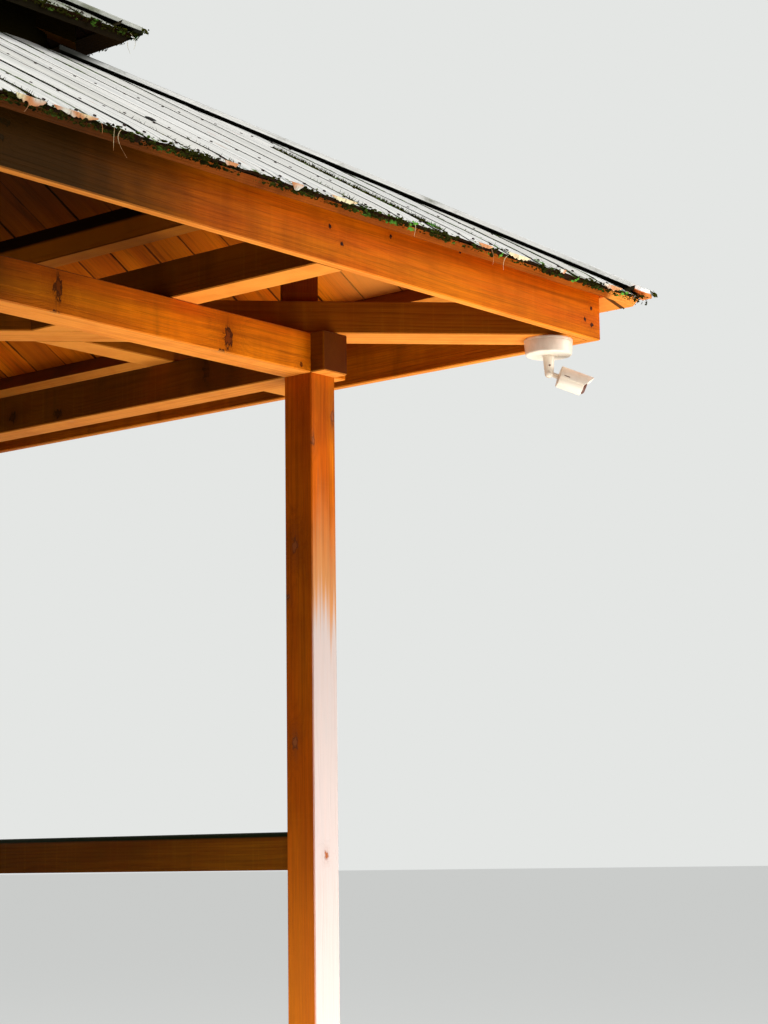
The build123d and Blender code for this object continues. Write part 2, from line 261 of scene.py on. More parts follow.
# Shader groups
# Growth rings round a pith along X, with fibres, knots and the swirl of the grain round them
def makeCedarGrain():
    tree, given, result = newGroup("cedarGrain", "Shader", {
        "Vector": "Vector", "Light": (226, 124, 36), "Late": (140, 62, 12), "Heart": (198, 90, 18),
        "Knot": (48, 20, 8), "Ring Spacing": 0.008, "Knot Spacing": 0.55, "Knot Share": 0.55, "Mark": 0.0,
        "Mark Bend": 0.0, "Seed": 0.0
    }, {"Color": "Color", "Roughness": "Float", "Height": "Float"})
    along = given["Vector"]
    seeded = vector("ADD", along, join(mul(given["Seed"], 7.31), 0, 0))
    drift = vector("SUBTRACT", noise(seeded, (0.8, 4.5, 4.5), output="Color"), 0.5)
    wandered = vector("ADD", along, vector("MULTIPLY", drift, (0, 0.05, 0.05)))
    x, y, z = split(wandered)
    radius = vector("LENGTH", join(0, y, z))
    ripple = minus(noise(seeded, (3, 26, 26)), 0.5)
    radius = mulAdd(ripple, 0.006, radius)
    # Knots sit in cells along the timber and round its pith
    cells = 0.62
    angle = calc("ARCTAN2", y, z)
    run = over(split(seeded)[0], given["Knot Spacing"])
    cell = add("TexVoronoi", {"voronoi_dimensions": "2D"}, Vector=join(run, mul(angle, cells), 0), Scale=1.0,
               Randomness=0.85)
    centre = split(cell.outputs["Position"])
    luck = split(cell.outputs["Color"])
    alongGap = mul(minus(run, centre[0]), given["Knot Spacing"])
    aroundGap = over(minus(mul(angle, cells), centre[1]), cells)
    aroundGap = mul(aroundGap, radius)
    wobble = mulAdd(noise(seeded, 60), 0.008, -0.004)
    away = plus(vector("LENGTH", join(alongGap, aroundGap, 0)), wobble)
    there = calc("LESS_THAN", luck[0], given["Knot Share"])
    size = mulAdd(luck[1], 0.012, 0.005)
    core = mul(there, smooth(away, mul(size, 1.2), mul(size, 0.8)))
    spread = over(away, mul(size, 2.6))
    swirl = bell(spread)
    swirl = mul(mul(swirl, there), mul(size, 2.2))
    knots = most(core, given["Mark"])
    bent = plus(plus(radius, swirl), given["Mark Bend"])
    # Rings: pale early wood that darkens to a thin line of late wood
    years = mulAdd(noise(seeded, (0.5, 3, 3)), 3, over(bent, given["Ring Spacing"]))
    season = calc("FRACT", years)
    late = ramp(season, [(0.0, 0.2), (0.35, 0.0), (0.7, 0.35), (0.88, 1.0), (0.96, 0.7), (1.0, 0.2)])
    strength = mulAdd(noise(seeded, (0.8, 7, 7)), 0.62, -0.12)
    fibre = noise(seeded, (6, 380, 380), 3, 0.6)
    streak = noise(seeded, (2.2, 70, 70), 2)
    patch = noise(seeded, (1.3, 9, 9), 3)
    saw = noise(seeded, (95, 3, 3), 1)
    color = blend(smooth(patch, 0.35, 0.7), given["Light"], given["Heart"])
    color = layered(color, (mul(late, strength), given["Late"]),
                    (smooth(streak, 0.5, 0.75, 0.3), given["Late"]),
                    (smooth(fibre, 0.46, 0.74, 0.38), (112, 48, 10)),
                    (smooth(saw, 0.55, 0.75, 0.04), (255, 170, 40)))
    halo = mul(plus(swirl, given["Mark Bend"]), 14)
    color = blend(least(halo, 0.55), color, given["Late"])
    rim = smooth(knots, 0.35, 0.75)
    color = layered(color, (mul(rim, 0.92), given["Knot"]),
                    (smooth(given["Mark"], 1.2, 1.7, 0.5), given["Late"]))
    plug(result["Color"], color)
    rough = mulAdd(fibre, 0.2, 0.48)
    plug(result["Roughness"], mulAdd(rim, -0.1, rough))
    height = mulAdd(late, -0.35, mul(fibre, 0.6))
    height = mulAdd(saw, 0.08, height)
    plug(result["Height"], mulAdd(rim, -0.5, height))
    return tree


# One knot at a chosen place, longer across the grain than along it
def makeKnotMark():
    tree, given, result = newGroup("knotMark", "Shader", {
        "Vector": "Vector", "Centre": "Vector", "Stretch": "Vector", "Size": 0.012, "Mark": 0.0,
        "Bend": 0.0
    }, {"Mark": "Float", "Bend": "Float"})
    here, size = given["Vector"], given["Size"]
    offset = vector("SUBTRACT", here, given["Centre"])
    away = vector("MULTIPLY", offset, given["Stretch"])
    wobble = minus(noise(here, (110, 110, 70), 3, 0.6), 0.5)
    wobble = mul(wobble, mul(size, 2.4))
    drawn = vector("LENGTH", vector("MULTIPLY", away, given["Stretch"]))
    drawn = over(drawn, mul(size, 1.35))
    smear = bell(drawn)
    threads = smooth(noise(here, (230, 230, 24), 2), 0.36, 0.62)
    smear = mul(smear, mulAdd(threads, 0.5, 0.18))
    away = plus(vector("LENGTH", away), wobble)
    spread = over(away, mul(size, 2.6))
    swirl = bell(spread)
    core = smooth(away, mul(size, 1.35), mul(size, 0.5))
    heart = smooth(away, mul(size, 0.6), mul(size, 0.35))
    core = most(plus(core, heart), smear)
    plug(result["Mark"], most(core, given["Mark"]))
    swirl = mul(swirl, mul(size, 2.4))
    plug(result["Bend"], most(swirl, given["Bend"]))
    return tree


# Grime in soft patches with faint runs, painted shade on the left, high up and on faces towards -X, paler
# wood with painted light on undersides, and grey on what faces the sky
def makeWeatherAndPaintedLight():
    tree, given, result = newGroup("weatherAndPaintedLight", "Shader", {
        "Color": "Color", "Vector": "Vector", "Normal": "Vector", "Grime": 0.4, "Grime Color": (70, 34, 8),
        "Top Wear": 0.5, "Top Color": (128, 122, 98), "Fresh": 0.5, "Fresh Color": (255, 160, 62),
        "Damp": 0.6, "Damp Color": (38, 27, 4), "Lengthwise": "Vector"
    }, {"Color": "Color"})
    here, normal = given["Vector"], given["Normal"]
    lengthwise = given["Lengthwise"]
    cloud = noise(here, (1.7, 1.7, 1.4), 4, 0.62)
    runs = noise(here, (16, 16, 1.6), 3, 0.6)
    dirt = smooth(mulAdd(minus(runs, 0.5), 0.22, cloud), 0.46, 0.74)
    color = blend(mul(dirt, given["Grime"]), given["Color"], given["Grime Color"])
    reach = vector("DOT_PRODUCT", here, lengthwise)
    alongIt = vector("SCALE", lengthwise, scale=reach)
    acrossIt = vector("SCALE", vector("SUBTRACT", here, alongIt), scale=85)
    thread = vector("ADD", acrossIt, vector("SCALE", alongIt, scale=2.2))
    threads = noise(thread, 1, 4, 0.62)
    straight = vector("LENGTH", lengthwise)
    threads = mul(smooth(threads, 0.42, 0.66), straight)
    mottle = smooth(noise(here, (11, 11, 7), 3, 0.6), 0.4, 0.7)
    color = layered(color, (mul(threads, 0.3), (120, 54, 4)), (mul(mottle, 0.22), (140, 60, 4)))
    run = smooth(noise(here, (9, 9, 1.1), 3, 0.6), 0.62, 0.78)
    color = blend(mul(run, 0.45), color, (72, 54, 6))
    # Painted shade: the left half is painted dark, and so is all that is high up in the roof
    x, y, z = split(here)
    patchy = mulAdd(minus(cloud, 0.5), 0.9, x)
    inward = most(plus(y, 1), 0)
    patchy = mulAdd(inward, -0.75, patchy)
    damp = mul(smooth(patchy, 0.6, -0.15), given["Damp"])
    damp = mul(damp, mulAdd(smooth(x, -0.5, -1.3), -0.4, 1))
    high = smooth(z, 2.98, 3.3)
    damp = most(damp, mul(high, 0.95))
    color = layered(color, (damp, given["Damp Color"]), (smooth(z, 3.2, 3.38, 0.75), (13, 14, 4)))
    # Painted shade: faces towards -X are darker
    away = smooth(split(normal)[0], -0.5, -0.9, 0.3)
    color = blend(away, color, (60, 38, 4))
    # End grain darker, partly painted shade
    ends = smooth(absolute(vector("DOT_PRODUCT", normal, lengthwise)), 0.85, 0.97)
    color = blend(mul(ends, 0.75), color, (70, 27, 3))
    # Undersides paler: fresh wood and painted light from below, less of it in the painted shade, inside the
    # shelter and high up
    level = split(normal)[2]
    under = mul(smooth(level, -0.6, -0.9), given["Fresh"])
    under = mul(under, mulAdd(damp, -0.2, 1))
    under = mul(under, mulAdd(smooth(inward, 0.5, 2), -0.75, 1))
    under = mul(under, mulAdd(smooth(z, 2.8, 2.88), -0.8, 1))
    fresh = blend(mul(threads, 0.45), given["Fresh Color"], (206, 104, 26))
    fresh = blend(mul(mottle, 0.4), fresh, (222, 118, 36))
    color = blend(under, color, fresh)
    worn = mul(mul(smooth(level, 0.25, 0.8), given["Top Wear"]), plus(cloud, 0.5))
    plug(result["Color"], blend(worn, color, given["Top Color"]))
    return tree


# Silvered wood with painted sunlight on the outward faces of a post, below the shadow of the eave, and
# painted light towards its foot
def makeBleachAndSunlight():
    tree, given, result = newGroup("bleachAndSunlight", "Shader", {
        "Color": "Color", "Vector": "Vector", "Normal": "Vector", "Outward": "Vector", "Top": 2.06,
        "Bottom": 1.62, "Pale": (192, 136, 84), "Silver": (190, 181, 176)
    }, {"Color": "Color"})
    here, normal = given["Vector"], given["Normal"]
    faces = smooth(vector("DOT_PRODUCT", normal, given["Outward"]), 0.5, 0.9)
    streak = noise(here, (60, 60, 1.2), 3)
    level = mulAdd(streak, -0.5, plus(split(here)[2], 0.25))
    down = smooth(level, given["Top"], given["Bottom"])
    amount = mul(mul(faces, down), 0.9)
    turned = smooth(level, plus(given["Bottom"], 0.1), minus(given["Bottom"], 0.06))
    pale = blend(turned, given["Pale"], given["Silver"])
    fine = noise(here, (300, 300, 5), 3)
    pale = blend(smooth(fine, 0.5, 0.8, 0.3), pale, (178, 152, 132))
    # Painted light: warmer and brighter towards the foot of the post
    low = smooth(split(here)[2], 1.2, 0.5, 0.5)
    color = blend(low, given["Color"], (238, 132, 40))
    plug(result["Color"], blend(amount, color, pale))
    return tree


# Folds the four like sides or the four corners of the shelter onto one, with a shift for each
def makeFourSides():
    tree, given, result = newGroup("fourSides", "Shader", {
        "Vector": "Vector"
    }, {"Around": "Vector", "Outward": "Vector", "Diagonal": "Vector"})
    x, y, z = split(given["Vector"])
    wide, deep = absolute(x), absolute(y)
    frontBack = calc("GREATER_THAN", deep, wide)
    signs = mulAdd(calc("SIGN", x), 3.7, mul(calc("SIGN", y), 9.1))
    shift = join(signs, 0, 0)
    around = either(frontBack, join(y, wide, z), join(x, deep, z))
    outward = either(frontBack, join(wide, y, z), join(deep, x, z))
    half = math.sqrt(0.5)
    diagonal = join(mul(plus(wide, deep), half), mul(minus(wide, deep), half), z)
    plug(result["Around"], vector("ADD", around, shift))
    plug(result["Outward"], vector("ADD", outward, shift))
    plug(result["Diagonal"], vector("ADD", diagonal, shift))
    return tree


cedarGrain = makeCedarGrain()
knotMark = makeKnotMark()
weatherAndPaintedLight = makeWeatherAndPaintedLight()
bleachAndSunlight = makeBleachAndSunlight()
fourSides = makeFourSides()


def newMaterial(name):
    made = bpy.data.materials.new(name)
    openTree(made)
    surface = add("BsdfPrincipled")
    add("OutputMaterial", Surface=surface.outputs[0])
    place = add("TexCoord").outputs
    return made, surface.inputs, place["Object"], place["Normal"]


def coat(surface, color, rough, shine=None, height=None, depth=None):
    plug(surface["Base Color"], color)
    plug(surface["Roughness"], rough)
    plug(surface["Specular IOR Level"], shine)
    if height:
        plug(surface["Normal"], add("Bump", Height=height, Distance=depth, Strength=1.0).outputs[0])


# Cedar timbers: each node has its own pith, so that no two show the same grain. Tones are those of the early
# wood, the heart and the late wood.
cedar = {
    "tones": ((242, 132, 7), (218, 99, 5), (154, 67, 3)),
    "ringSpacing": 0.007,
    "knotShare": 0.15,
    "relief": 0.0012,
    "grime": 0.5,
    "grimeColor": None,
    "topWear": 0.3,
    "topColor": None,
    "fresh": 0.8,
    "damp": 0.8,
    "shine": 0.03,
    "seed": 0.0,
    "fold": None,
    "marks": (),
    "outward": None,
    "mouldAndShade": None,
    "tip": None,
}
grainTurn = {"x": (0, 0, 0), "y": (0, 0, 90), "z": (0, -90, 0), "right": (0, 0, -45), "left": (0, 0, 45)}


def cedarMaterial(name, turn, pith, **own):
    look = {**cedar, **own}
    made, surface, here, normal = newMaterial(name)
    where = use(fourSides, Vector=here)[look["fold"]] if look["fold"] else here
    turn = tuple(math.radians(angle) for angle in grainTurn.get(turn, turn))
    lengthwise = (0, 0, 0) if look["fold"] else tuple(Euler(turn).to_matrix() @ Vector((1, 0, 0)))
    where = add("Mapping", {"vector_type": "TEXTURE"}, Vector=where, Location=pith, Rotation=turn).outputs[0]
    mark, bend = None, None
    for centre, size, stretch in look["marks"]:
        found = use(knotMark, Vector=here, Centre=centre, Size=size * 1.25, Stretch=stretch, Mark=mark,
                    Bend=bend)
        mark, bend = found["Mark"], found["Bend"]
    light, heart, late = look["tones"]
    grain = use(cedarGrain, Vector=where, Light=light, Late=late, Heart=heart,
                Ring_Spacing=look["ringSpacing"], Knot_Share=look["knotShare"], Mark=mark, Mark_Bend=bend,
                Seed=look["seed"])
    color = use(weatherAndPaintedLight, Color=grain["Color"], Vector=here, Normal=normal, Lengthwise=lengthwise,
                Grime=look["grime"], Grime_Color=look["grimeColor"], Top_Wear=look["topWear"],
                Top_Color=look["topColor"], Damp=look["damp"], Fresh=look["fresh"])["Color"]
    x, y, z = split(here)
    if look["mouldAndShade"]:
        # Black along the boards as mould and painted shade, with painted light below it, as on the inner
        # purlins
        color = layered(color, (smooth(z, 2.894, 2.90, 0.5), (226, 128, 26)),
                        (smooth(z, 2.952, 2.966, 0.97), look["mouldAndShade"]))
    if look["tip"]:
        # Painted light: the last of the eave, beyond the corner, is painted bright as if lit from below
        reach = least(absolute(x), absolute(y))
        color = blend(smooth(reach, 1.88, 1.925, 0.75), color, look["tip"])
        # A dark line across the right batten at the front corner: moss with painted shade
        across = mulAdd(minus(x, 2.002), 0.419, mul(plus(y, 1.9815), 0.909))
        stain = mul(smooth(absolute(across), 0.009, 0.005), smooth(reach, 1.96, 1.97))
        color = blend(mul(stain, 0.9), color, (40, 26, 8))
    if look["outward"]:
        color = use(bleachAndSunlight, Color=color, Vector=here, Normal=normal, Outward=look["outward"])["Color"]
    if look["outward"] and mark:
        color = blend(mul(mark, 0.6), color, (150, 84, 44))
    coat(surface, color, grain["Roughness"], look["shine"], grain["Height"], look["relief"])
    return made


def dress(node, material):
    nodes[node].data.materials.clear()
    nodes[node].data.materials.append(material)


def centreOf(node):
    low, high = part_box(node)
    return (low + high) / 2


# A pith beside the timber, at a seeded distance from its axis
def pithNear(low, high):
    angle = chooser.uniform(0, 2 * math.pi)
    reach = chooser.uniform(low, high)
    return reach * math.cos(angle), reach * math.sin(angle)


# Where the pith of a straight timber runs, with its shift across the grain
def pithOf(node, turn, a, b):
    x, y, z = centreOf(node)
    return {"x": (0, y + a, z + b), "y": (x + a, 0, z + b), "z": (x + a, y + b, 0)}[turn]


chooser = random.Random(7)
# Nails on a fascia, out from its middle and up from its lower edge: at the corner and at the arms
cornerNails = [(1.919, 0.091), (1.886, 0.052), (1.922, 0.040)]
armNails = [(0.750, 0.096), (0.796, 0.058), (0.995, 0.120), (1.293, 0.136)]
# Knots that the photo shows: place, size and stretch
postMarks = [((1.298, -1.336, 1.845), 0.012, (1, 1.2, 0.6)), ((1.298, -1.307, 1.697), 0.006, (1, 1, 0.7)),
             ((1.298, -1.331, 1.279), 0.011, (1, 1.2, 0.6)), ((1.347, -1.402, 0.960), 0.008, (1, 1, 0.8)),
             ((1.392, -1.402, 2.225), 0.009, (1, 1, 0.5)), ((1.305, -1.402, 2.146), 0.006, (1, 1, 0.5))]
frontMarks = [((0.322, -1.402, 2.412), 0.013, (1.0, 1, 0.5)), ((0.953, -1.402, 2.390), 0.014, (1.0, 1, 0.5)),
              ((1.256, -1.402, 2.363), 0.006, (1, 1, 1.0)), ((-0.42, -1.402, 2.39), 0.010, (1.3, 1, 0.6)),
              ((0.311, -1.396, 2.345), 0.008, (0.5, 1, 1)), ((0.927, -1.396, 2.345), 0.007, (0.5, 1, 1))]
rightMarks = [((1.298, -0.980, 2.422), 0.016, (1, 1.2, 0.45)),
              ((1.298, -0.097, 2.391), 0.012, (1, 0.8, 0.8)), ((1.298, -0.315, 2.372), 0.010, (1, 0.7, 0.8)),
              ((1.340, -0.965, 2.345), 0.007, (1, 0.5, 1)), ((1.327, -0.345, 2.345), 0.007, (1, 0.5, 1))]
fasciaMarks = [((-0.338, -1.962, 2.569), 0.007, (0.5, 1, 1)), ((-0.35, -1.962, 2.532), 0.006, (0.7, 1, 1))]
fasciaMarks += [((x, -1.962, 2.463 + rise), 0.0055, (1, 1, 1)) for x, rise in (*cornerNails, *armNails[:3])]

# Grain along a hip
hipTurn = (0, math.degrees(math.atan(roofRise / math.sqrt(2))), 0)
shaded = {"tones": ((156, 84, 8), (128, 62, 6), (84, 40, 4)), "grime": 0.9}
# No painted light from below and no sheen, for timbers deep in painted shade
deepShade = {"fresh": 0.1, "shine": 0.0}
# The other timbers: material, turn of the grain, pith, and what differs from the usual cedar
restOfTimbers = {
    "diagonal_beam_1": ("diagonal_beam_1", "right", (0.02, 0.03, centreOf("diagonal_beam_1").z + 0.05),
                        {**shaded, "seed": 11, "knotShare": 0.0, "grimeColor": (52, 28, 4)}),
    "diagonal_beam_2": ("diagonal_beam_2", "left", (0.02, 0.03, centreOf("diagonal_beam_2").z + 0.05),
                        {**shaded, "seed": 12, "knotShare": 0.0, "grimeColor": (52, 28, 4)}),
    "outrigger_arms": ("arm", "x", (0, 0.83, centreOf("outrigger_arms").z + 0.04),
                       {**shaded, "fold": "Outward", "seed": 21, "knotShare": 0.0}),
    "hip_rafters": ("hip", hipTurn, (0, 0.03, 3.6), {"fold": "Diagonal", "seed": 22}),
    # Upper hip rafters: near-black tones, painted shade deep under the upper roof
    "upper_hip_rafters": ("upperHip", hipTurn, (0, 0.04, 3.9), {
        "fold": "Diagonal", "seed": 23, "shine": 0.0, "tones": ((40, 28, 10), (32, 22, 8), (22, 14, 5))}),
    "hip_struts": ("strut", "z", (1.88, 0.03, 0), {
        "fold": "Diagonal", "seed": 24, "grimeColor": (40, 16, 4),
        "tones": ((124, 46, 8), (98, 34, 5), (66, 24, 4))}),
    "purlin_blocks": ("block", "x", (0, 1.8, 2.6), {"fold": "Around", "seed": 25}),
    "king_post": ("kingPost", "z", (0.03, 0.05, 0), {"seed": 26}),
    # Battens: darker tones and heavy grime, partly painted shade under the overhanging boards
    "eave_battens": ("batten", "x", (0, 2.06, 2.62), {
        "fold": "Around", "seed": 27, "knotShare": 0.1, "fresh": 0.1, "damp": 0.7, "tip": (255, 158, 66),
        "grime": 0.9, "grimeColor": (34, 18, 4), "tones": ((176, 84, 14), (130, 58, 8), (76, 34, 6))}),
    # Lantern frame and walls: near-black tones, painted shade under the upper roof, with moss on the walls
    "lantern_frame": ("lantern", "x", (0, 0.8, 3.5), {
        **deepShade, "fold": "Around", "seed": 28, "grime": 0.8,
        "tones": ((46, 34, 12), (36, 26, 8), (24, 16, 5))}),
    "lantern_walls": ("lanternWall", "x", (0, 0.85, 3.4), {
        **deepShade, "fold": "Around", "seed": 29, "grime": 1.0, "grimeColor": (16, 18, 7),
        "tones": ((44, 34, 16), (34, 26, 12), (22, 16, 7))}),
    "bench_legs": ("benchLeg", "z", (0.4, 0.6, 0), {
        "seed": 35, "grime": 0.9, "damp": 0.3, "tones": ((176, 100, 40), (140, 74, 26), (100, 50, 18))}),
}
# Rails: darker tones as painted shade, and a near-black mossy top, partly painted shade
railLook = {"grime": 0.8, "fresh": 0.2, "topWear": 1.9, "topColor": (24, 36, 12), "damp": 0.7,
            "tones": ((160, 92, 10), (124, 68, 6), (80, 42, 4))}


def dressTimbers():
    for index, name in enumerate(("front_right", "front_left", "back_right", "back_left")):
        pith = pithOf(name + "_post", "z", *pithNear(0.02, 0.045))
        marks, share = (postMarks, 0.0) if index == 0 else ((), 0.3)
        dress(name + "_post", cedarMaterial(name + "Cedar", "z", pith, marks=marks, seed=index,
                                            knotShare=share, outward=(0, -1 if index < 2 else 1, 0)))
    marked = {"front_beam": frontMarks, "right_beam": rightMarks, "front_fascia": fasciaMarks}
    for index, side in enumerate(sides):
        turn = "xy"[index % 2]
        for part, low, high, share in (("beam", 0.05, 0.09, 0.0), ("fascia", 0.12, 0.2, 0.0),
                                       ("purlins", 0.05, 0.1, 0.15)):
            node = side + "_" + part
            pith = pithOf(node, turn, *pithNear(low, high))
            look = {"marks": marked.get(node, ()), "damp": 0.96, "seed": index + low * 100,
                    "knotShare": share}
            if part == "purlins":
                look["mouldAndShade"] = (7, 5, 2)
            if part == "purlins" or node == "right_beam":
                look.update(shaded)
            dress(node, cedarMaterial(side + part.capitalize() + "Cedar", turn, pith, **look))
    for node, (name, turn, pith, look) in restOfTimbers.items():
        dress(node, cedarMaterial(name + "Cedar", turn, pith, **look))
    for index, (side, turn) in enumerate((("right", "y"), ("back", "x"), ("left", "y"))):
        pith = pithOf(side + "_rail", turn, 0.03, -0.05)
        dress(side + "_rail", cedarMaterial(side + "RailCedar", turn, pith, seed=31 + index, **railLook))


# Geometry node helpers
def form(kind, settings=None, **values):
    return add("GeometryNode" + kind, settings, **values).outputs[0]


def combined(*pieces):
    made = add("GeometryNodeJoinGeometry")
    for piece in pieces:
        plug(made.inputs[0], piece)
    return made.outputs[0]


def store(shape, name, sort, domain, value):
    return form("StoreNamedAttribute", {"data_type": sort, "domain": domain}, Geometry=shape, Name=name,
                Value=value)


def stored(name, sort):
    return add("GeometryNodeInputNamedAttribute", {"data_type": sort}, Name=name).outputs["Attribute"]


# Random 0-1 that depends on a whole number, the tree's seed and a salt
def chance(number, seed, salt):
    key = mulAdd(number, 1.37, plus(seed, salt))
    return add("TexWhiteNoise", {"noise_dimensions": "1D"}, W=key).outputs["Value"]


# Runs a geometry tree on a new object and keeps its result as a plain mesh
def grow(name, tree, settings, start=None):
    piece = bpy.data.objects.new(name, start or bpy.data.meshes.new(name))
    scene.collection.objects.link(piece)
    rule = piece.modifiers.new("rule", "NODES")
    rule.node_group = tree
    for item in tree.interface.items_tree:
        if item.in_out == "INPUT" and item.name in settings:
            rule[item.identifier] = settings[item.name]
    graph = bpy.context.evaluated_depsgraph_get()
    plain = bpy.data.meshes.new_from_object(piece.evaluated_get(graph), preserve_all_data_layers=True,
                                            depsgraph=graph)
    piece.modifiers.clear()
    piece.data = plain
    plain.name = name
    return piece


# One layer of boards on the front slope: cut along both hips, worn at the eave
def makeBoardLayer():
    tree, given, result = newGroup("boardLayer", "Geometry", {
        "Count": 27, "Start": -2.0, "Module": 0.155, "Gap": 0.014, "Gap Spread": 0.6, "Wander": 0.006,
        "Thickness": 0.018, "Depth": 0.0, "Top": 0.8, "Eave": 2.0, "Half Width": 2.0, "Peak": 3.8,
        "Rise": 0.59, "Hip Gap": 0.02, "Ragged": 0.012, "Uneven": 0.01, "Cup": 0.002, "Seed": 0.0,
        "Finish": "Material"
    }, {"Geometry": "Geometry"})
    seed = given["Seed"]
    row = add("GeometryNodeMeshLine", {"mode": "OFFSET"}, Count=given["Count"],
              Start_Location=join(given["Start"], 0, 0), Offset=join(given["Module"], 0, 0))
    block = add("GeometryNodeMeshCube", Size=(1, 1, 1), Vertices_X=17, Vertices_Y=14, Vertices_Z=3)
    here = form("InputPosition")
    order = form("InputIndex")
    unit = store(block.outputs["Mesh"], "unit", "FLOAT_VECTOR", "POINT", here)
    boards = form("InstanceOnPoints", Points=row.outputs[0], Instance=unit)
    boards = store(boards, "board", "FLOAT", "INSTANCE", order)
    boards = form("RealizeInstances", Geometry=boards)
    a, b, c = split(stored("unit", "FLOAT_VECTOR"))
    board = stored("board", "FLOAT")
    # Across the slope: board centre, width and place
    centre = mulAdd(board, given["Module"], given["Start"])
    centre = mulAdd(minus(chance(board, seed, 0.3), 0.5), given["Wander"], centre)
    opening = mulAdd(minus(chance(board, seed, 5.1), 0.5), mul(given["Gap"], given["Gap Spread"]),
                     given["Gap"])
    width = minus(given["Module"], opening)
    x = mulAdd(a, width, centre)
    limit = minus(given["Half Width"], given["Hip Gap"])
    x = most(least(x, limit), mul(limit, -1))
    # Down the slope: from the wall or the hip to the worn eave
    torn = join(x, mulAdd(seed, 3.3, mul(board, 0.7)), mul(c, 0.5))
    wear = absolute(minus(noise(torn, (30, 1, 1), 4, 0.7), 0.5))
    wear = mulAdd(minus(0.5, c), 0.35, wear)
    eave = mulAdd(wear, mul(given["Ragged"], -3), given["Eave"])
    eave = mulAdd(chance(board, seed, 9.7), mul(given["Uneven"], -1), eave)
    top = most(given["Top"], plus(absolute(x), given["Hip Gap"]))
    top = least(top, eave)
    # The rows of points gather towards the eave, where the wear is
    share = minus(0.5, b)
    share = minus(1, calc("POWER", minus(1, share), 2.4))
    u = mulAdd(minus(eave, top), share, top)
    # Depth under the roof's surface, with cupped and lifted boards
    cup = mul(mul(a, a), given["Cup"])
    cup = mul(cup, mul(chance(board, seed, 2.9), 4))
    sag = mul(noise(join(mul(board, 3.1), u, seed), (1, 1.4, 1)), given["Cup"])
    depth = mulAdd(minus(0.5, c), given["Thickness"], given["Depth"])
    depth = plus(depth, plus(cup, sag))
    droop = smooth(minus(given["Eave"], u), 0.10, 0)
    dip = noise(join(x, seed, board), (17, 1, 1), 2)
    depth = mulAdd(mul(droop, dip), given["Ragged"], depth)
    steep = calc("ARCTANGENT", given["Rise"])
    y = mulAdd(calc("SINE", steep), depth, mul(u, -1))
    z = minus(given["Peak"], mul(given["Rise"], u))
    z = minus(z, mul(calc("COSINE", steep), depth))
    boards = form("SetPosition", Geometry=boards, Position=join(x, y, z))
    slant = over(u, calc("COSINE", steep))
    across = mul(a, width)
    grainPlace = join(slant, mulAdd(board, 0.61, across), mul(c, given["Thickness"]))
    boards = store(boards, "grain", "FLOAT_VECTOR", "POINT", grainPlace)
    state = join(chance(board, seed, 4.4), minus(given["Eave"], u), absolute(mul(a, 2)))
    boards = store(boards, "state", "FLOAT_VECTOR", "POINT", state)
    boards = form("MergeByDistance", Geometry=boards, Distance=0.0002)
    boards = form("SetMaterial", Geometry=boards, Material=given["Finish"])
    plug(result["Geometry"], boards)
    return tree


# Upper and lower board layers of one slope, turned to its side
def makeRoofSlope(boardLayer):
    tree, given, result = newGroup("roofSlope", "Geometry", {
        "Top": 0.8, "Eave": 2.0, "Peak": 3.8, "Rise": 0.59, "Module": 0.155,
        "Upper Gap": 0.014, "Lower Gap": 0.005, "Thickness": 0.018, "Lower Setback": 0.08, "Ragged": 0.012,
        "Quarter": 0.0, "Hip Gap": 0.03, "Seed": 0.0, "Upper Finish": "Material",
        "Lower Finish": "Material"
    }, {"Geometry": "Geometry"})
    count = plus(calc("FLOOR", over(mul(given["Eave"], 2), given["Module"])), 2)
    start = mul(mul(minus(count, 1), given["Module"]), -0.5)
    shared = {"Count": count, "Module": given["Module"], "Thickness": given["Thickness"],
              "Top": given["Top"], "Half_Width": given["Eave"], "Peak": given["Peak"], "Rise": given["Rise"]}
    upper = use(boardLayer, Start=start, Gap=given["Upper Gap"], Eave=given["Eave"], Ragged=given["Ragged"],
                Seed=given["Seed"], Hip_Gap=given["Hip Gap"], Finish=given["Upper Finish"],
                Uneven=roof["uneven"], Gap_Spread=roof["gapSpread"], **shared)[0]
    below = minus(given["Eave"], given["Lower Setback"])
    lower = use(boardLayer, Start=mulAdd(given["Module"], 0.5, start), Gap=given["Lower Gap"], Eave=below,
                Ragged=0.0, Uneven=0.0, Cup=0.0, Depth=given["Thickness"], Hip_Gap=roof["lowerHipGap"],
                Seed=plus(given["Seed"], 40), Finish=given["Lower Finish"], **shared)[0]
    angle = mul(given["Quarter"], math.pi / 2)
    both = add("GeometryNodeTransform", Geometry=combined(upper, lower),
               Rotation=join(0, 0, angle)).outputs[0]
    both = form("RealizeInstances", Geometry=both)
    plug(result["Geometry"], both)
    return tree


# What the boards' tree stored: the place in the grain, then luck and the ways from eave and middle
def boardPlace():
    grain = add("Attribute", {"attribute_name": "grain"}).outputs["Vector"]
    return grain, split(add("Attribute", {"attribute_name": "state"}).outputs["Vector"])


weathered = {
    "pale": (251, 249, 243),
    "grey": (214, 215, 212),
    "crack": (40, 38, 26),
    "moss": (44, 50, 16),
    "freshMoss": (104, 138, 30),
    "peel": (196, 122, 76),
    "edge": (15, 14, 5),
    "underside": (36, 20, 6),
    "relief": 0.0016,
}


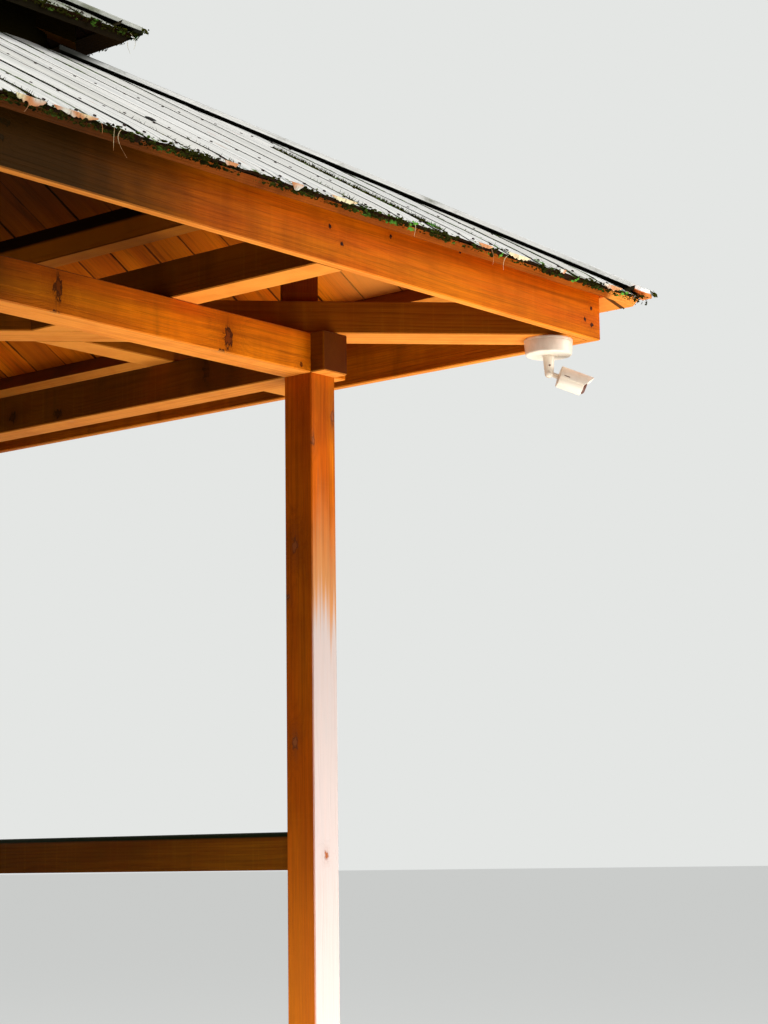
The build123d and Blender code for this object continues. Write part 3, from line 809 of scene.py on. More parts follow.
def silverBoards():
    made, surface, here, normal = newMaterial("silverBoards")
    grain, state = boardPlace()
    fibre = noise(grain, (3, 260, 0), 3, 0.65)
    wide = noise(grain, (0.9, 34, 0), 3, 0.6)
    cloud = noise(grain, (2.6, 5, 0), 3)
    crack = smooth(noise(grain, (0.55, 95, 0), 1), 0.69, 0.74)
    color = blend(smooth(wide, 0.35, 0.7), weathered["pale"], weathered["grey"])
    color = layered(color, (mul(state[0], 0.4), (206, 202, 188)),
                    (smooth(fibre, 0.5, 0.72, 0.4), (140, 140, 132)),
                    (smooth(cloud, 0.5, 0.85, 0.35), (160, 166, 150)))
    peeled = smooth(noise(grain, (5, 42, 0), 3, 0.6), 0.685, 0.72)
    color = layered(color, (mul(peeled, 0.7), weathered["peel"]), (mul(crack, 0.85), weathered["crack"]))
    # Moss creeps in from the eave and from the gaps between the boards
    ragged = noise(grain, (18, 30, 0), 4, 0.7)
    near = minus(mul(minus(ragged, 0.44), 0.3), state[1])
    mossy = smooth(near, 0, 0.02)
    patch = smooth(noise(here, 1.6, 2), 0.5, 0.62)
    edge = smooth(mulAdd(minus(ragged, 0.5), 0.5, state[2]), 0.86, 0.95)
    edge = mul(edge, mul(smooth(ragged, 0.4, 0.5), patch))
    mossy = most(mossy, edge)
    high = smooth(split(here)[2], 3.36, 3.42)
    color = blend(mul(high, 0.6), color, (92, 100, 68))
    high = mul(high, smooth(plus(cloud, mul(ragged, 0.5)), 0.62, 1))
    high = mul(high, 0.8)
    mossy = most(mossy, high)
    moss = blend(smooth(noise(grain, (60, 60, 0), 3), 0.45, 0.65), weathered["moss"], weathered["freshMoss"])
    color = blend(mossy, color, moss)
    # The hole that the photo shows in a board low on the front slope
    hole = add("Mapping", {"vector_type": "TEXTURE"}, Vector=here, Location=(0.336, -1.727, 2.798),
               Rotation=(0, 0, math.radians(45)), Scale=(0.036, 0.014, 0.1)).outputs[0]
    # The hole is painted near black: painted shade inside it
    color = blend(smooth(vector("LENGTH", hole), 1.15, 0.9), color, (12, 8, 3))
    up = split(normal)[2]
    # End faces and edges: near black, as rot and moss with painted shade under the overhang, and darker
    # still high up in painted shade
    side = blend(noise(grain, (30, 90, 90), 3), weathered["edge"], (34, 32, 12))
    side = blend(smooth(split(here)[2], 3.2, 3.36), side, (16, 17, 7))
    color = blend(smooth(up, 0.5, 0.75), side, color)
    # Undersides of the upper boards, seen through the gaps: painted shade between the layers
    color = blend(smooth(up, -0.5, -0.75), color, weathered["underside"])
    height = mulAdd(crack, -1, mul(fibre, 0.5))
    coat(surface, color, mulAdd(mossy, 0.3, 0.62), 0.02, mulAdd(mossy, ragged, height), weathered["relief"])
    return made


# Lower layer, seen from below: cedar that has kept its colour, some boards darker
def undersideBoards():
    made, surface, here, normal = newMaterial("undersideBoards")
    grain, state = boardPlace()
    lifted = vector("ADD", grain, (0, 0, 0.055))
    fine = use(cedarGrain, Vector=lifted, Light=(250, 128, 10), Late=(164, 66, 3), Heart=(218, 98, 5),
               Ring_Spacing=0.007, Knot_Share=0.3)
    color = blend(smooth(state[0], 0.4, 1, 0.5), fine["Color"], (150, 70, 10))
    stain = noise(grain, (3, 16, 0), 4, 0.65)
    color = blend(smooth(stain, 0.52, 0.75, 0.6), color, (96, 46, 8))
    reach = mulAdd(minus(stain, 0.5), 0.35, state[2])
    color = blend(smooth(reach, 0.93, 1, 0.8), color, (30, 14, 3))
    # Painted shade: dark high up, where the boards meet the timbers, and to the left, with darker patches
    # here and there
    x, y, z = split(here)
    blotch = noise(here, (3.4, 3.4, 2), 4, 0.65)
    damp = smooth(mulAdd(blotch, 1, minus(x, 0.5)), 1.25, 0.4)
    damp = most(mul(damp, 0.9), smooth(blotch, 0.62, 0.72, 0.7))
    damp = most(damp, smooth(z, 2.8, 3.08, 0.88))
    # Painted light: the boards at the front right corner are painted brightest
    lit = mul(smooth(x, 1.3, 1.75), smooth(y, -1, -1.28))
    color = layered(color, (mul(lit, 0.9), (255, 156, 64)), (damp, (26, 16, 4)),
                    (smooth(z, 3.25, 3.4, 0.8), (10, 9, 3)))
    # Top faces of the lower boards, seen through the gaps: painted shade between the layers
    up = split(normal)[2]
    color = blend(smooth(up, -0.2, 0.3), color, (40, 34, 20))
    coat(surface, color, fine["Roughness"], cedar["shine"], fine["Height"], cedar["relief"])
    return made


roof = {
    "module": 0.155,
    "upperGap": 0.014,
    "lowerGap": 0.003,
    "thickness": 0.018,
    "battenSetback": 0.022,
    "battenWidth": 0.060,
    "ragged": 0.012,
    "uneven": 0.018,
    "gapSpread": 1.3,
    "hipGap": 0.028,
    "lowerHipGap": 0.003,
    "upperTop": 0.02,
}
steep = math.atan(roofRise)
lowerBox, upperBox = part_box("front_roof"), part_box("upper_roof")
lowerEave, lowerTop = -lowerBox[0].y, -lowerBox[1].y
lowerPeak = lowerBox[1].z + roofRise * lowerTop
upperEave = -upperBox[0].y
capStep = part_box("upper_hip_caps")[0].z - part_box("hip_caps")[0].z
upperPeak = lowerPeak + capStep + roofRise * (upperEave - lowerEave)


def buildRoofs():
    slope = makeRoofSlope(makeBoardLayer())
    setback = (roof["battenSetback"] + roof["battenWidth"]) * math.cos(steep)
    shared = {"Rise": roofRise, "Module": roof["module"], "Upper Gap": roof["upperGap"],
              "Lower Gap": roof["lowerGap"], "Thickness": roof["thickness"], "Lower Setback": setback,
              "Ragged": roof["ragged"], "Hip Gap": roof["hipGap"], "Upper Finish": silverBoards(),
              "Lower Finish": undersideBoards()}

    def laySlopes(ending, top, eave, peak, seed):
        tier = {**shared, "Top": top, "Eave": eave, "Peak": peak}
        return [grow(side + ending, slope, {**tier, "Quarter": float(turn), "Seed": seed + turn * 11.0})
                for turn, side in enumerate(sides)]

    lower = laySlopes("RoofBoards", lowerTop, lowerEave, lowerPeak, 1.0)
    made = [(piece, side + "_roof") for piece, side in zip(lower, sides)]
    upper = laySlopes("UpperBoards", roof["upperTop"], upperEave, upperPeak, 71.0)
    made.append((joined(upper, "upperRoofBoards"), "upper_roof"))
    for piece, node in made:
        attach(piece, "pavilion")
        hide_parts(node)
    return [piece for piece, node in made]


# Several plain meshes as one piece
def joined(pieces, name):
    for piece in bpy.context.selected_objects:
        piece.select_set(False)
    for piece in pieces:
        piece.select_set(True)
    bpy.context.view_layer.objects.active = pieces[0]
    bpy.ops.object.join()
    pieces[0].name = name
    pieces[0].data.name = name
    pieces[0].select_set(False)
    return pieces[0]


# Plain mesh helpers
# The outline with each inner corner eased by an arc-like curve
def rounded(points, radius, steps=5):
    points = [Vector(point) for point in points]
    eased = [points[0]]
    for before, corner, after in zip(points, points[1:], points[2:]):
        near, far = before - corner, after - corner
        reach = min(radius, near.length * 0.49, far.length * 0.49)
        start, end = corner + near.normalized() * reach, corner + far.normalized() * reach
        for step in range(steps + 1):
            share = step / steps
            eased.append(start * (1 - share) ** 2 + corner * 2 * share * (1 - share) + end * share ** 2)
    eased.append(points[-1])
    return [tuple(point) for point in eased]


# Spins a radius-height outline about Z
def lathe(outline, segments=64):
    shape = bmesh.new()
    rings = []
    for radius, height in outline:
        turns = [2 * math.pi * step / segments for step in range(segments)] if radius > 0 else [0]
        rings.append([shape.verts.new((radius * math.cos(turn), radius * math.sin(turn), height))
                      for turn in turns])
    for first, second in zip(rings, rings[1:]):
        for step in range(segments):
            after = step + 1
            corners = [first[step % len(first)], first[after % len(first)], second[after % len(second)],
                       second[step % len(second)]]
            corners = list(dict.fromkeys(corners))
            if len(corners) > 2:
                shape.faces.new(corners)
    bmesh.ops.recalc_face_normals(shape, faces=shape.faces)
    return shape


# Faces between two lines of points
def bridge(shape, first, second):
    for step in range(len(first) - 1):
        shape.faces.new((first[step], first[step + 1], second[step + 1], second[step]))


# A plate from two like grids of points: both its sides and the rim between them
def plate(shape, front, back):
    for grid in (front, back):
        for first, second in zip(grid, grid[1:]):
            bridge(shape, first, second)
    for end in (0, -1):
        bridge(shape, front[end], back[end])
    for end in (0, -1):
        bridge(shape, [row[end] for row in front], [row[end] for row in back])
    bmesh.ops.recalc_face_normals(shape, faces=shape.faces)


# A box between two corners with eased edges
def block(low, high, ease=0.0, steps=2):
    shape = bmesh.new()
    low, high = Vector(low), Vector(high)
    bmesh.ops.create_cube(shape, size=1.0)
    for corner in shape.verts:
        corner.co = Vector((low[i] + (corner.co[i] + 0.5) * (high[i] - low[i]) for i in range(3)))
    if ease:
        bmesh.ops.bevel(shape, geom=list(shape.edges), offset=ease, segments=steps, affect="EDGES",
                        profile=0.5)
    return shape


# Joins bmesh shapes into one plain mesh
def meshFrom(name, *shapes):
    whole = bmesh.new()
    for shape in shapes:
        part = bpy.data.meshes.new("part")
        shape.to_mesh(part)
        shape.free()
        whole.from_mesh(part)
        bpy.data.meshes.remove(part)
    mesh = bpy.data.meshes.new(name)
    whole.to_mesh(mesh)
    whole.free()
    return mesh


def show(name, mesh, body, node=None, materials=(), sharp=35.0):
    piece = bpy.data.objects.new(name, mesh)
    scene.collection.objects.link(piece)
    for material in materials:
        mesh.materials.append(material)
    mesh.shade_smooth()
    mesh.set_sharp_from_angle(angle=math.radians(sharp))
    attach(piece, body)
    if node:
        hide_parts(node)
    return piece


# The mesh with the cutter's volume taken away
def carve(mesh, cutter):
    target = bpy.data.objects.new("target", mesh)
    tool = bpy.data.objects.new("tool", cutter)
    for item in (target, tool):
        scene.collection.objects.link(item)
    cut = target.modifiers.new("cut", "BOOLEAN")
    cut.operation, cut.solver, cut.object = "DIFFERENCE", "EXACT", tool
    graph = bpy.context.evaluated_depsgraph_get()
    result = bpy.data.meshes.new_from_object(target.evaluated_get(graph), depsgraph=graph)
    for item in (target, tool):
        bpy.data.objects.remove(item)
    return result


# Benches: each seat is three planks with eased edges
bench = {
    "planks": 3,
    "gap": 0.007,
    "ease": 0.006,
    "look": {"grime": 0.9, "topWear": 0.9, "topColor": (98, 106, 92),
             "tones": ((176, 120, 72), (146, 96, 58), (110, 70, 40))},
}


def buildBenches():
    for index, (side, across) in enumerate((("right", 0), ("back", 1), ("left", 0))):
        low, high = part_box(side + "_bench")
        step = (high[across] - low[across] + bench["gap"]) / bench["planks"]
        planks = []
        for plank in range(bench["planks"]):
            start, end = list(low), list(high)
            start[across] = low[across] + plank * step
            end[across] = start[across] + step - bench["gap"]
            planks.append(block(start, end, bench["ease"], 3))
        turn = "yx"[across]
        wood = cedarMaterial(side + "BenchCedar", turn, pithOf(side + "_bench", turn, 0.03, -0.07),
                             seed=41 + index, **bench["look"])
        name = side + "BenchPlanks"
        show(name, meshFrom(name, *planks), "pavilion", side + "_bench", [wood])


# Security camera. Its own frame has the origin under the beam, X outward along the diagonal, in metres.
fixture = {
    "seamDepth": 0.0012,
    "neckTop": 0.017,
    "neckRadius": 0.0135,
    "slotWidth": 0.0106,
    "screwBelow": 0.031,
    "screwRadius": 0.0032,
    "pinHead": 0.0046,
    "tilt": 20.0,
    "linkLength": 0.030,
    "bodyRadius": 0.031,
    "bodyLength": 0.077,
    "hoodThick": 0.003,
    "hoodLength": 0.103,
    "hoodBelow": 0.006,
    "bezel": 0.0245,
    "lens": 0.0165,
    "lensReach": 0.009,
    "slot": (0.012, 0.030, 0.002),
    "plastic": (240, 226, 204),
    "inside": (96, 48, 24),
}


# Moulded plastic, slightly yellowed and dusty in patches
def plainPlastic(name, color, rough, grime):
    made, surface, here, normal = newMaterial(name)
    cloud = noise(here, (22, 22, 14), 4, 0.6)
    runs = noise(here, (160, 160, 12), 2)
    dirt = smooth(mulAdd(minus(runs, 0.5), 0.15, cloud), 0.45, 0.75)
    tint = blend(mul(dirt, grime), shade(*color), (190, 164, 128))
    coat(surface, tint, mulAdd(dirt, 0.2, rough), None, noise(here, 900), 0.00008)
    return made


def lensGlass():
    made, surface, here, normal = newMaterial("lensGlass")
    plug(surface["Coat Weight"], 1.0)
    coat(surface, (14, 12, 16), mulAdd(noise(here, 30), 0.06, 0.05))
    return made


def quarterArc(steps, point):
    turns = [math.pi / 2 * step / steps for step in range(steps + 1)]
    return [point(math.cos(turn), math.sin(turn)) for turn in turns]


def buildFixture():
    low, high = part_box("camera_base")
    spot = (low + high) / 2
    spot.z = high.z
    radius, drop = (high.x - low.x) / 2, high.z - low.z
    place = Matrix.Translation(spot) @ Matrix.Rotation(math.radians(-45), 4, "Z")
    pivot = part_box("camera_neck")[0].z + fixture["neckRadius"] - spot.z
    plastic = plainPlastic("fixturePlastic", fixture["plastic"], 0.42, 0.3)
    # Dark plastic for the recess, the slots and the screw; its dark brown is partly painted shade in the
    # recess
    dark = plainPlastic("fixtureDarkPlasticAndShade", fixture["inside"], 0.5, 0.1)
    upright = Matrix.Rotation(math.pi / 2, 4, "X")

    def put(name, matrix, body, node, finish, *shapes, sharp=35.0):
        mesh = meshFrom(name, *shapes)
        mesh.transform(matrix)
        show(name, mesh, body, node, [finish], sharp)

    # Drum with a seam between its plate and its cover
    seam = radius - fixture["seamDepth"]
    outline = [(0, 0), (radius, 0), (radius, -0.0075), (seam, -0.008), (seam, -0.009), (radius, -0.0095),
               (radius - 0.003, -drop + 0.003), (radius - 0.007, -drop), (0.03, -drop),
               (0.029, -drop + 0.0015), (0.021, -drop + 0.0015), (0.02, -drop), (0, -drop)]
    put("cameraDrum", place, "pavilion", "camera_base", plastic, lathe(rounded(outline, 0.0022, 4), 96))

    # Neck: a tapered stem whose rounded end is slotted for the lug, with the pin's heads and a lock screw
    top, reach, wide = fixture["neckTop"], fixture["neckRadius"], fixture["slotWidth"] / 2
    ball = quarterArc(10, lambda across, up: (reach * across, pivot - reach * up))
    collar = [(0, -drop - 0.0003), (top, -drop - 0.0003), (top, -drop - 0.006), ball[0]]
    outline = rounded(collar, 0.0015, 3)[:-1]
    slit = meshFrom("slit", block((-0.03, -wide, pivot - 0.03), (0.03, wide, pivot + 0.0125), 0.001))
    neck = bmesh.new()
    neck.from_mesh(carve(meshFrom("cameraNeck", lathe(outline + ball[:-1] + [(0, ball[-1][1])], 64)), slit))
    heads = []
    for side in (-1, 1):
        pin = fixture["pinHead"]
        head = lathe(rounded([(0, 0.0012), (pin, 0.0012), (pin, -0.002), (0, -0.002)], 0.0008, 3), 24)
        turn = Matrix.Rotation(-side * math.pi / 2, 4, "X")
        head.transform(Matrix.Translation((0, side * reach, pivot)) @ turn)
        heads.append(head)
    put("cameraNeck", place, "neck", "camera_neck", plastic, neck, *heads)
    below, size = fixture["screwBelow"], fixture["screwRadius"]
    stem = top + (reach - top) * (below / (-drop - pivot))
    screw = lathe([(0, 0.0004), (size * 0.8, 0.0004), (size, 0.0), (size, -0.003)], 16)
    screw.transform(Matrix.Translation((0, -stem, -drop - below)) @ upright)
    put("neckScrew", place, "neck", None, dark, screw)

    # Body: barrel with a lens at the bottom of its recess, under a hood cut back at a slant
    body, back, lens, rim = (fixture[key] for key in ("bodyRadius", "linkLength", "lens", "bezel"))
    front = back + fixture["bodyLength"]
    nose = front + fixture["lensReach"]
    shell = lathe(rounded([(0, back), (body, back), (body, front), (rim, front), (rim, front - 0.004)],
                          0.004, 5), 72)
    floor = lathe(rounded([(rim, front - 0.004), (rim, front + fixture["lensReach"] * 0.6),
                           (lens + 0.003, nose), (lens, nose), (lens, nose - 0.003)], 0.002, 3), 72)
    dome = quarterArc(8, lambda across, up: (lens * across, nose - 0.003 + 0.004 * up))
    eye = lathe(dome[:-1] + [(0, dome[-1][1])], 48)
    for shape in (shell, floor, eye):
        shape.transform(Matrix.Rotation(math.pi / 2, 4, "Y"))
    start, end, above = fixture["slot"]
    side = body + fixture["hoodThick"] - 0.0004
    slots = [block((back + start, way * side - 0.0008, above - 0.0011),
                   (back + end, way * side + 0.0008, above + 0.0011), 0.0004) for way in (-1, 1)]
    lug = lathe(rounded([(0, 0.005), (0.011, 0.005), (0.011, -0.005), (0, -0.005)], 0.001, 3), 40)
    lug.transform(upright)
    link = block((0.004, -0.005, -0.007), (back + 0.004, 0.005, 0.007), 0.002, 3)
    tilt = Matrix.Rotation(math.radians(fixture["tilt"]), 4, "Y")
    tilted = place @ Matrix.Translation((0, 0, pivot)) @ tilt
    put("cameraBarrel", tilted, "camera", "camera_body", plastic, shell, lug, link, hood(body, back),
        sharp=40.0)
    put("cameraBezel", tilted, "camera", None, dark, floor, *slots)
    put("cameraLens", tilted, "camera", None, lensGlass(), eye)


# Half shell over the barrel: open below, its nose cut at a slant and rounded at the tip
def hood(body, back, around=40, along=24):
    shape = bmesh.new()
    outer = body + fixture["hoodThick"]
    low = math.asin(-fixture["hoodBelow"] / outer)
    front = back + fixture["bodyLength"]
    reach = fixture["hoodLength"] - fixture["bodyLength"]
    layers = []
    for radius in (outer, body + 0.0002):
        grid = []
        for turnStep in range(around + 1):
            turn = low + (math.pi - 2 * low) * turnStep / around
            height = math.sin(turn)
            share = (height - math.sin(low)) / (1 - math.sin(low))
            end = front + reach * share - 0.006 * max(0.0, (share - 0.8) / 0.2) ** 2
            row = []
            for step in range(along + 1):
                x = back + (end - back) * step / along
                row.append(shape.verts.new((x, -radius * math.cos(turn), radius * height)))
            grid.append(row)
        layers.append(grid)
    plate(shape, *layers)
    sharpEdges = [edge for edge in shape.edges if edge.is_manifold and edge.calc_face_angle() > 0.8]
    bmesh.ops.bevel(shape, geom=sharpEdges, offset=0.0008, segments=2, affect="EDGES", profile=0.5)
    return shape


# Nails: a low round head on each spot, facing outwards
nail = {
    "radius": 0.0042,
    "fasciaRadius": 0.0045,
    "height": 0.0012,
    "rows": (0.79, 1.35, 1.79),
    "upperRows": (0.45,),
    "fromEave": 0.045,
    "fromHip": 0.07,
    "apart": 0.045,
    "sunk": 0.0008,
    "fasciaStray": 0.006,
    "strayAcross": 0.008,
    "strayDown": 0.012,
}


def stray(reach):
    return chooser.uniform(-reach, reach)


# Places, outward directions and sizes of the nail heads on the whole shelter
def nailSpots():
    spots = []
    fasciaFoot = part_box("front_fascia")[0].z
    face = -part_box("front_fascia")[0].y
    normal = Vector((0, -math.sin(steep), math.cos(steep)))
    for quarter in range(4):
        turn = Matrix.Rotation(math.pi / 2 * quarter, 3, "Z")
        for side in (-1, 1):
            for x, rise in cornerNails + armNails:
                x += stray(nail["fasciaStray"]) if quarter else 0
                spots.append((turn @ Vector((side * x, -face, fasciaFoot + rise)),
                              turn @ Vector((0, -1, 0)), nail["fasciaRadius"]))
        for half, peak, rows in ((lowerEave, lowerPeak, nail["rows"]),
                                 (upperEave, upperPeak, nail["upperRows"])):
            count = int(half * 2 / roof["module"]) + 2
            for board in range(count):
                centre = (board - (count - 1) / 2) * roof["module"]
                for u in (*rows, half - nail["fromEave"]):
                    for offset in (-nail["apart"], nail["apart"]):
                        x = centre + offset + stray(nail["strayAcross"])
                        down = u + stray(nail["strayDown"])
                        if abs(x) + nail["fromHip"] < down:
                            point = Vector((x, -down, peak - roofRise * down)) - normal * nail["sunk"]
                            spots.append((turn @ point, turn @ normal, nail["radius"]))
    return spots


def makeNailHeads():
    tree, given, result = newGroup("nailHeads", "Geometry", {
        "Geometry": "Geometry", "Height": 0.0012, "Finish": "Material"
    }, {"Geometry": "Geometry"})
    disc = add("GeometryNodeMeshCone", Vertices=10, Side_Segments=1, Fill_Segments=1, Radius_Top=0.72,
               Radius_Bottom=1.0, Depth=1.0).outputs["Mesh"]
    rest = add("GeometryNodeMeshCone", Vertices=10, Side_Segments=1, Fill_Segments=1, Radius_Top=1.0,
               Radius_Bottom=1.0, Depth=2.0).outputs["Mesh"]
    rest = form("Transform", Geometry=rest, Translation=(0, 0, -2))
    facing = stored("facing", "FLOAT_VECTOR")
    size = stored("size", "FLOAT")
    turned = add("FunctionNodeAlignRotationToVector", {"axis": "Z"}, Vector=facing).outputs[0]
    heads = add("GeometryNodeInstanceOnPoints", Points=given["Geometry"], Instance=combined(disc, rest),
                Rotation=turned, Scale=join(size, size, given["Height"])).outputs[0]
    heads = form("RealizeInstances", Geometry=heads)
    heads = form("SetMaterial", Geometry=heads, Material=given["Finish"])
    plug(result["Geometry"], heads)
    return tree


def rustySteel():
    made, surface, here, normal = newMaterial("rustySteel")
    rust = noise(here, 240, 3)
    coat(surface, blend(rust, (22, 10, 5), (50, 26, 15)), mulAdd(rust, 0.3, 0.5), 0.1)
    return made


def buildNails():
    spots = nailSpots()
    points = bpy.data.meshes.new("nailSpots")
    points.from_pydata([place for place, facing, size in spots], [], [])
    for label, sort in (("facing", "FLOAT_VECTOR"), ("size", "FLOAT")):
        points.attributes.new(label, sort, "POINT")
    directions = [number for place, facing, size in spots for number in facing]
    points.attributes["facing"].data.foreach_set("vector", directions)
    points.attributes["size"].data.foreach_set("value", [size for place, facing, size in spots])
    piece = grow("nailHeads", makeNailHeads(), {"Height": nail["height"], "Finish": rustySteel()}, points)
    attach(piece, "pavilion")


# Footing stones
def granite():
    made, surface, here, normal = newMaterial("footingGranite")
    speck = add("TexVoronoi", Vector=here, Scale=420.0).outputs["Color"]
    grains = split(speck)
    cloud = noise(here, 7, 4)
    color = blend(cloud, (150, 148, 140), (182, 178, 168))
    color = layered(color, (smooth(grains[0], 0.72, 0.78, 0.6), (92, 90, 86)),
                    (smooth(grains[1], 0.8, 0.86, 0.5), (226, 222, 212)))
    level = split(here)[2]
    damp = smooth(mulAdd(cloud, -0.05, level), 0.03, -0.01)
    color = blend(mul(damp, 0.6), color, (78, 80, 58))
    coat(surface, color, mulAdd(cloud, 0.15, 0.75), None, noise(here, 240, 3), 0.0012)
    return made


# Hip caps and the cap on the point: weathered like the boards, grained along the hip
def silverHip(name, peak=None):
    made, surface, here, normal = newMaterial(name)
    where = use(fourSides, Vector=here)["Diagonal"]
    down = add("Mapping", {"vector_type": "TEXTURE"}, Vector=where,
               Rotation=(0, math.atan(roofRise / math.sqrt(2)), 0)).outputs[0]
    fibre = noise(down, (3, 240, 240), 3, 0.65)
    wide = noise(down, (0.9, 34, 34), 3, 0.6)
    crack = smooth(noise(down, (0.7, 80, 10), 1), 0.66, 0.72)
    color = blend(smooth(wide, 0.35, 0.7), weathered["pale"], weathered["grey"])
    color = layered(color, (smooth(fibre, 0.5, 0.72, 0.4), (138, 136, 122)),
                    (mul(crack, 0.85), weathered["crack"]))
    ragged = noise(here, 9, 4, 0.6)
    x, y, z = split(here)
    far = most(absolute(x), absolute(y))
    mossy = smooth(z, 3.1, 3.45, 0.12)
    mossy = smooth(plus(ragged, mossy), 0.55, 0.8)
    color = blend(mul(mossy, 0.75), color, (88, 92, 56))
    foot = mul(smooth(z, 3.27, 3.31), smooth(z, 3.37, 3.34))
    color = layered(color, (mul(foot, 0.85), (34, 38, 16)), (smooth(z, 3.37, 3.4, 0.45), (108, 116, 84)))
    if peak:
        # The packer under the cap boards stays in the dark
        above = minus(z, mulAdd(far, -roofRise, peak))
        dark = smooth(above, 0.0128, 0.0112)
        packer = blend(smooth(far, 2.045, 2.065), weathered["edge"], (226, 134, 64))
        color = blend(dark, color, packer)
    coat(surface, color, mulAdd(wide, 0.2, 0.55), 0.05, mulAdd(crack, -1, mul(fibre, 0.5)),
         weathered["relief"])
    return made


def dressRest():
    dress("base_stones", granite())
    dress("hip_caps", silverHip("silverHip", lowerPeak))
    dress("upper_hip_caps", silverHip("upperSilverHip", upperPeak))
    dress("apex_cap", silverHip("silverApex"))


# Moss, torn lips and hanging roots along the eaves. The moss grows on strips, each with its own amount.
# The long gap is a place on the front slope and how far up the moss goes there. A gap's strip is half its
# width, how deep it lies and its amount. The seen stretch is the part of the front eave in the photo.
eaves = {
    "tufts": 24000.0,
    "tuftSize": 0.0031,
    "blades": 24000.0,
    "bladeLength": 0.010,
    "lips": 20,
    "lipWidth": (0.025, 0.09),
    "lipDrop": (0.006, 0.016),
    "lipThick": 0.0022,
    "roots": 8,
    "rootLength": (0.02, 0.05),
    "rootRadius": 0.0009,
    "seen": (-0.6, 1.5),
    "step": 0.04,
    "amount": (0.1, 0.85),
    "upperMore": 1.3,
    "lush": 1.7,
    "fringe": (0.6, 1.8),
    "footAmount": 1.6,
    "tipAmount": 3.0,
    "gapShare": 0.5,
    "gapReach": (0.02, 0.3),
    "gapStrip": (0.008, 0.004, 0.6),
    "longGap": (1.085, 0.62),
    "longStrip": (0.011, 0.001, 4.5),
}
# Places along the front eave that the photo shows: lips as start, width and drop, moss as middle and half
# its width, roots as place and length
frontLips = [(-0.403, 0.085, 0.017), (-0.293, 0.13, 0.012), (0.247, 0.045, 0.012), (0.485, 0.04, 0.016),
             (0.634, 0.095, 0.010), (1.236, 0.06, 0.010), (1.371, 0.095, 0.012)]
frontMoss = [(-0.10, 0.035), (0.16, 0.05), (0.55, 0.03), (0.90, 0.035), (1.08, 0.03), (1.30, 0.03),
             (1.42, 0.03), (1.74, 0.05)]
frontRoots = [(-0.09, 0.06), (-0.11, 0.05), (-0.37, 0.03)]


# Each eave as a turn to its side, half its width and its height
def eaveLines():
    for quarter in range(4):
        turn = Matrix.Rotation(math.pi / 2 * quarter, 3, "Z")
        for half, peak in ((lowerEave, lowerPeak), (upperEave, upperPeak)):
            yield quarter, turn, half, peak


# Strips that the moss grows on: over the board ends, along some gaps and round the foot of each hip
def mossGuide():
    corners, faces, thick = [], [], []

    def strip(turn, points, amount):
        faces.append(tuple(range(len(corners), len(corners) + 4)))
        corners.extend(turn @ Vector(point) for point in points)
        thick.extend([amount] * 4)

    def band(turn, start, end, upper, lower, amount):
        strip(turn, [(start, *upper), (end, *upper), (end, *lower), (start, *lower)], amount)

    lean = (math.sin(steep), -math.cos(steep))
    for quarter, turn, half, peak in eaveLines():
        level = peak - roofRise * half
        front = quarter == 0 and half == lowerEave
        across = -half
        while across < half - 0.001:
            end = min(across + eaves["step"], half)
            amount = chooser.uniform(*eaves["amount"]) * (1.0 if half == lowerEave else eaves["upperMore"])
            if front and any(abs((across + end) / 2 - spot) < wide for spot, wide in frontMoss):
                amount = eaves["lush"]
            inner, drop = 0.022 * lean[0], 0.020 * lean[1]
            band(turn, across, end, (-half + 0.004, level + 0.001), (-half + 0.006 + inner, level + drop),
                 amount)
            if front:
                band(turn, across, end, (-half + 0.012, level + drop + 0.004),
                     (-half + 0.016, level + drop - 0.003), chooser.uniform(*eaves["fringe"]))
            across = end
        count = math.floor(half * 2 / roof["module"]) + 2
        for gap in range(count - 1):
            x = (gap + 1 - count / 2) * roof["module"]
            reach = chooser.uniform(*eaves["gapReach"])
            share = chooser.random()
            if front and abs(x - eaves["longGap"][0]) < 0.05:
                reach, share = eaves["longGap"][1], 0.0
            inner = max(abs(x) + 0.05, half - reach)
            wide, sunk, amount = eaves["longStrip"] if share == 0.0 else eaves["gapStrip"]
            if share < eaves["gapShare"] and inner < half - 0.03:
                ends = ((-1, half - 0.01), (1, half - 0.01), (1, inner), (-1, inner))
                strip(turn, [(x + side * wide, -u, peak - roofRise * u - sunk) for side, u in ends], amount)
        foot = half - 0.008
        strip(turn, [(foot - 0.03, -half + 0.006, level + 0.018), (foot, -half + 0.006, level + 0.014),
                     (foot, -half + 0.008, level + 0.002), (foot - 0.03, -half + 0.008, level + 0.002)],
              eaves["footAmount"])
        tip = half + 0.012
        strip(turn, [(half - 0.03, -half + 0.02, level + 0.024), (tip, -tip, level + 0.016),
                     (tip, -tip, level + 0.006), (half - 0.03, -half + 0.02, level + 0.002)],
              eaves["tipAmount"])
    mesh = bpy.data.meshes.new("mossGuide")
    mesh.from_pydata(corners, [], faces)
    mesh.attributes.new("thick", "FLOAT", "POINT")
    mesh.attributes["thick"].data.foreach_set("value", thick)
    return mesh


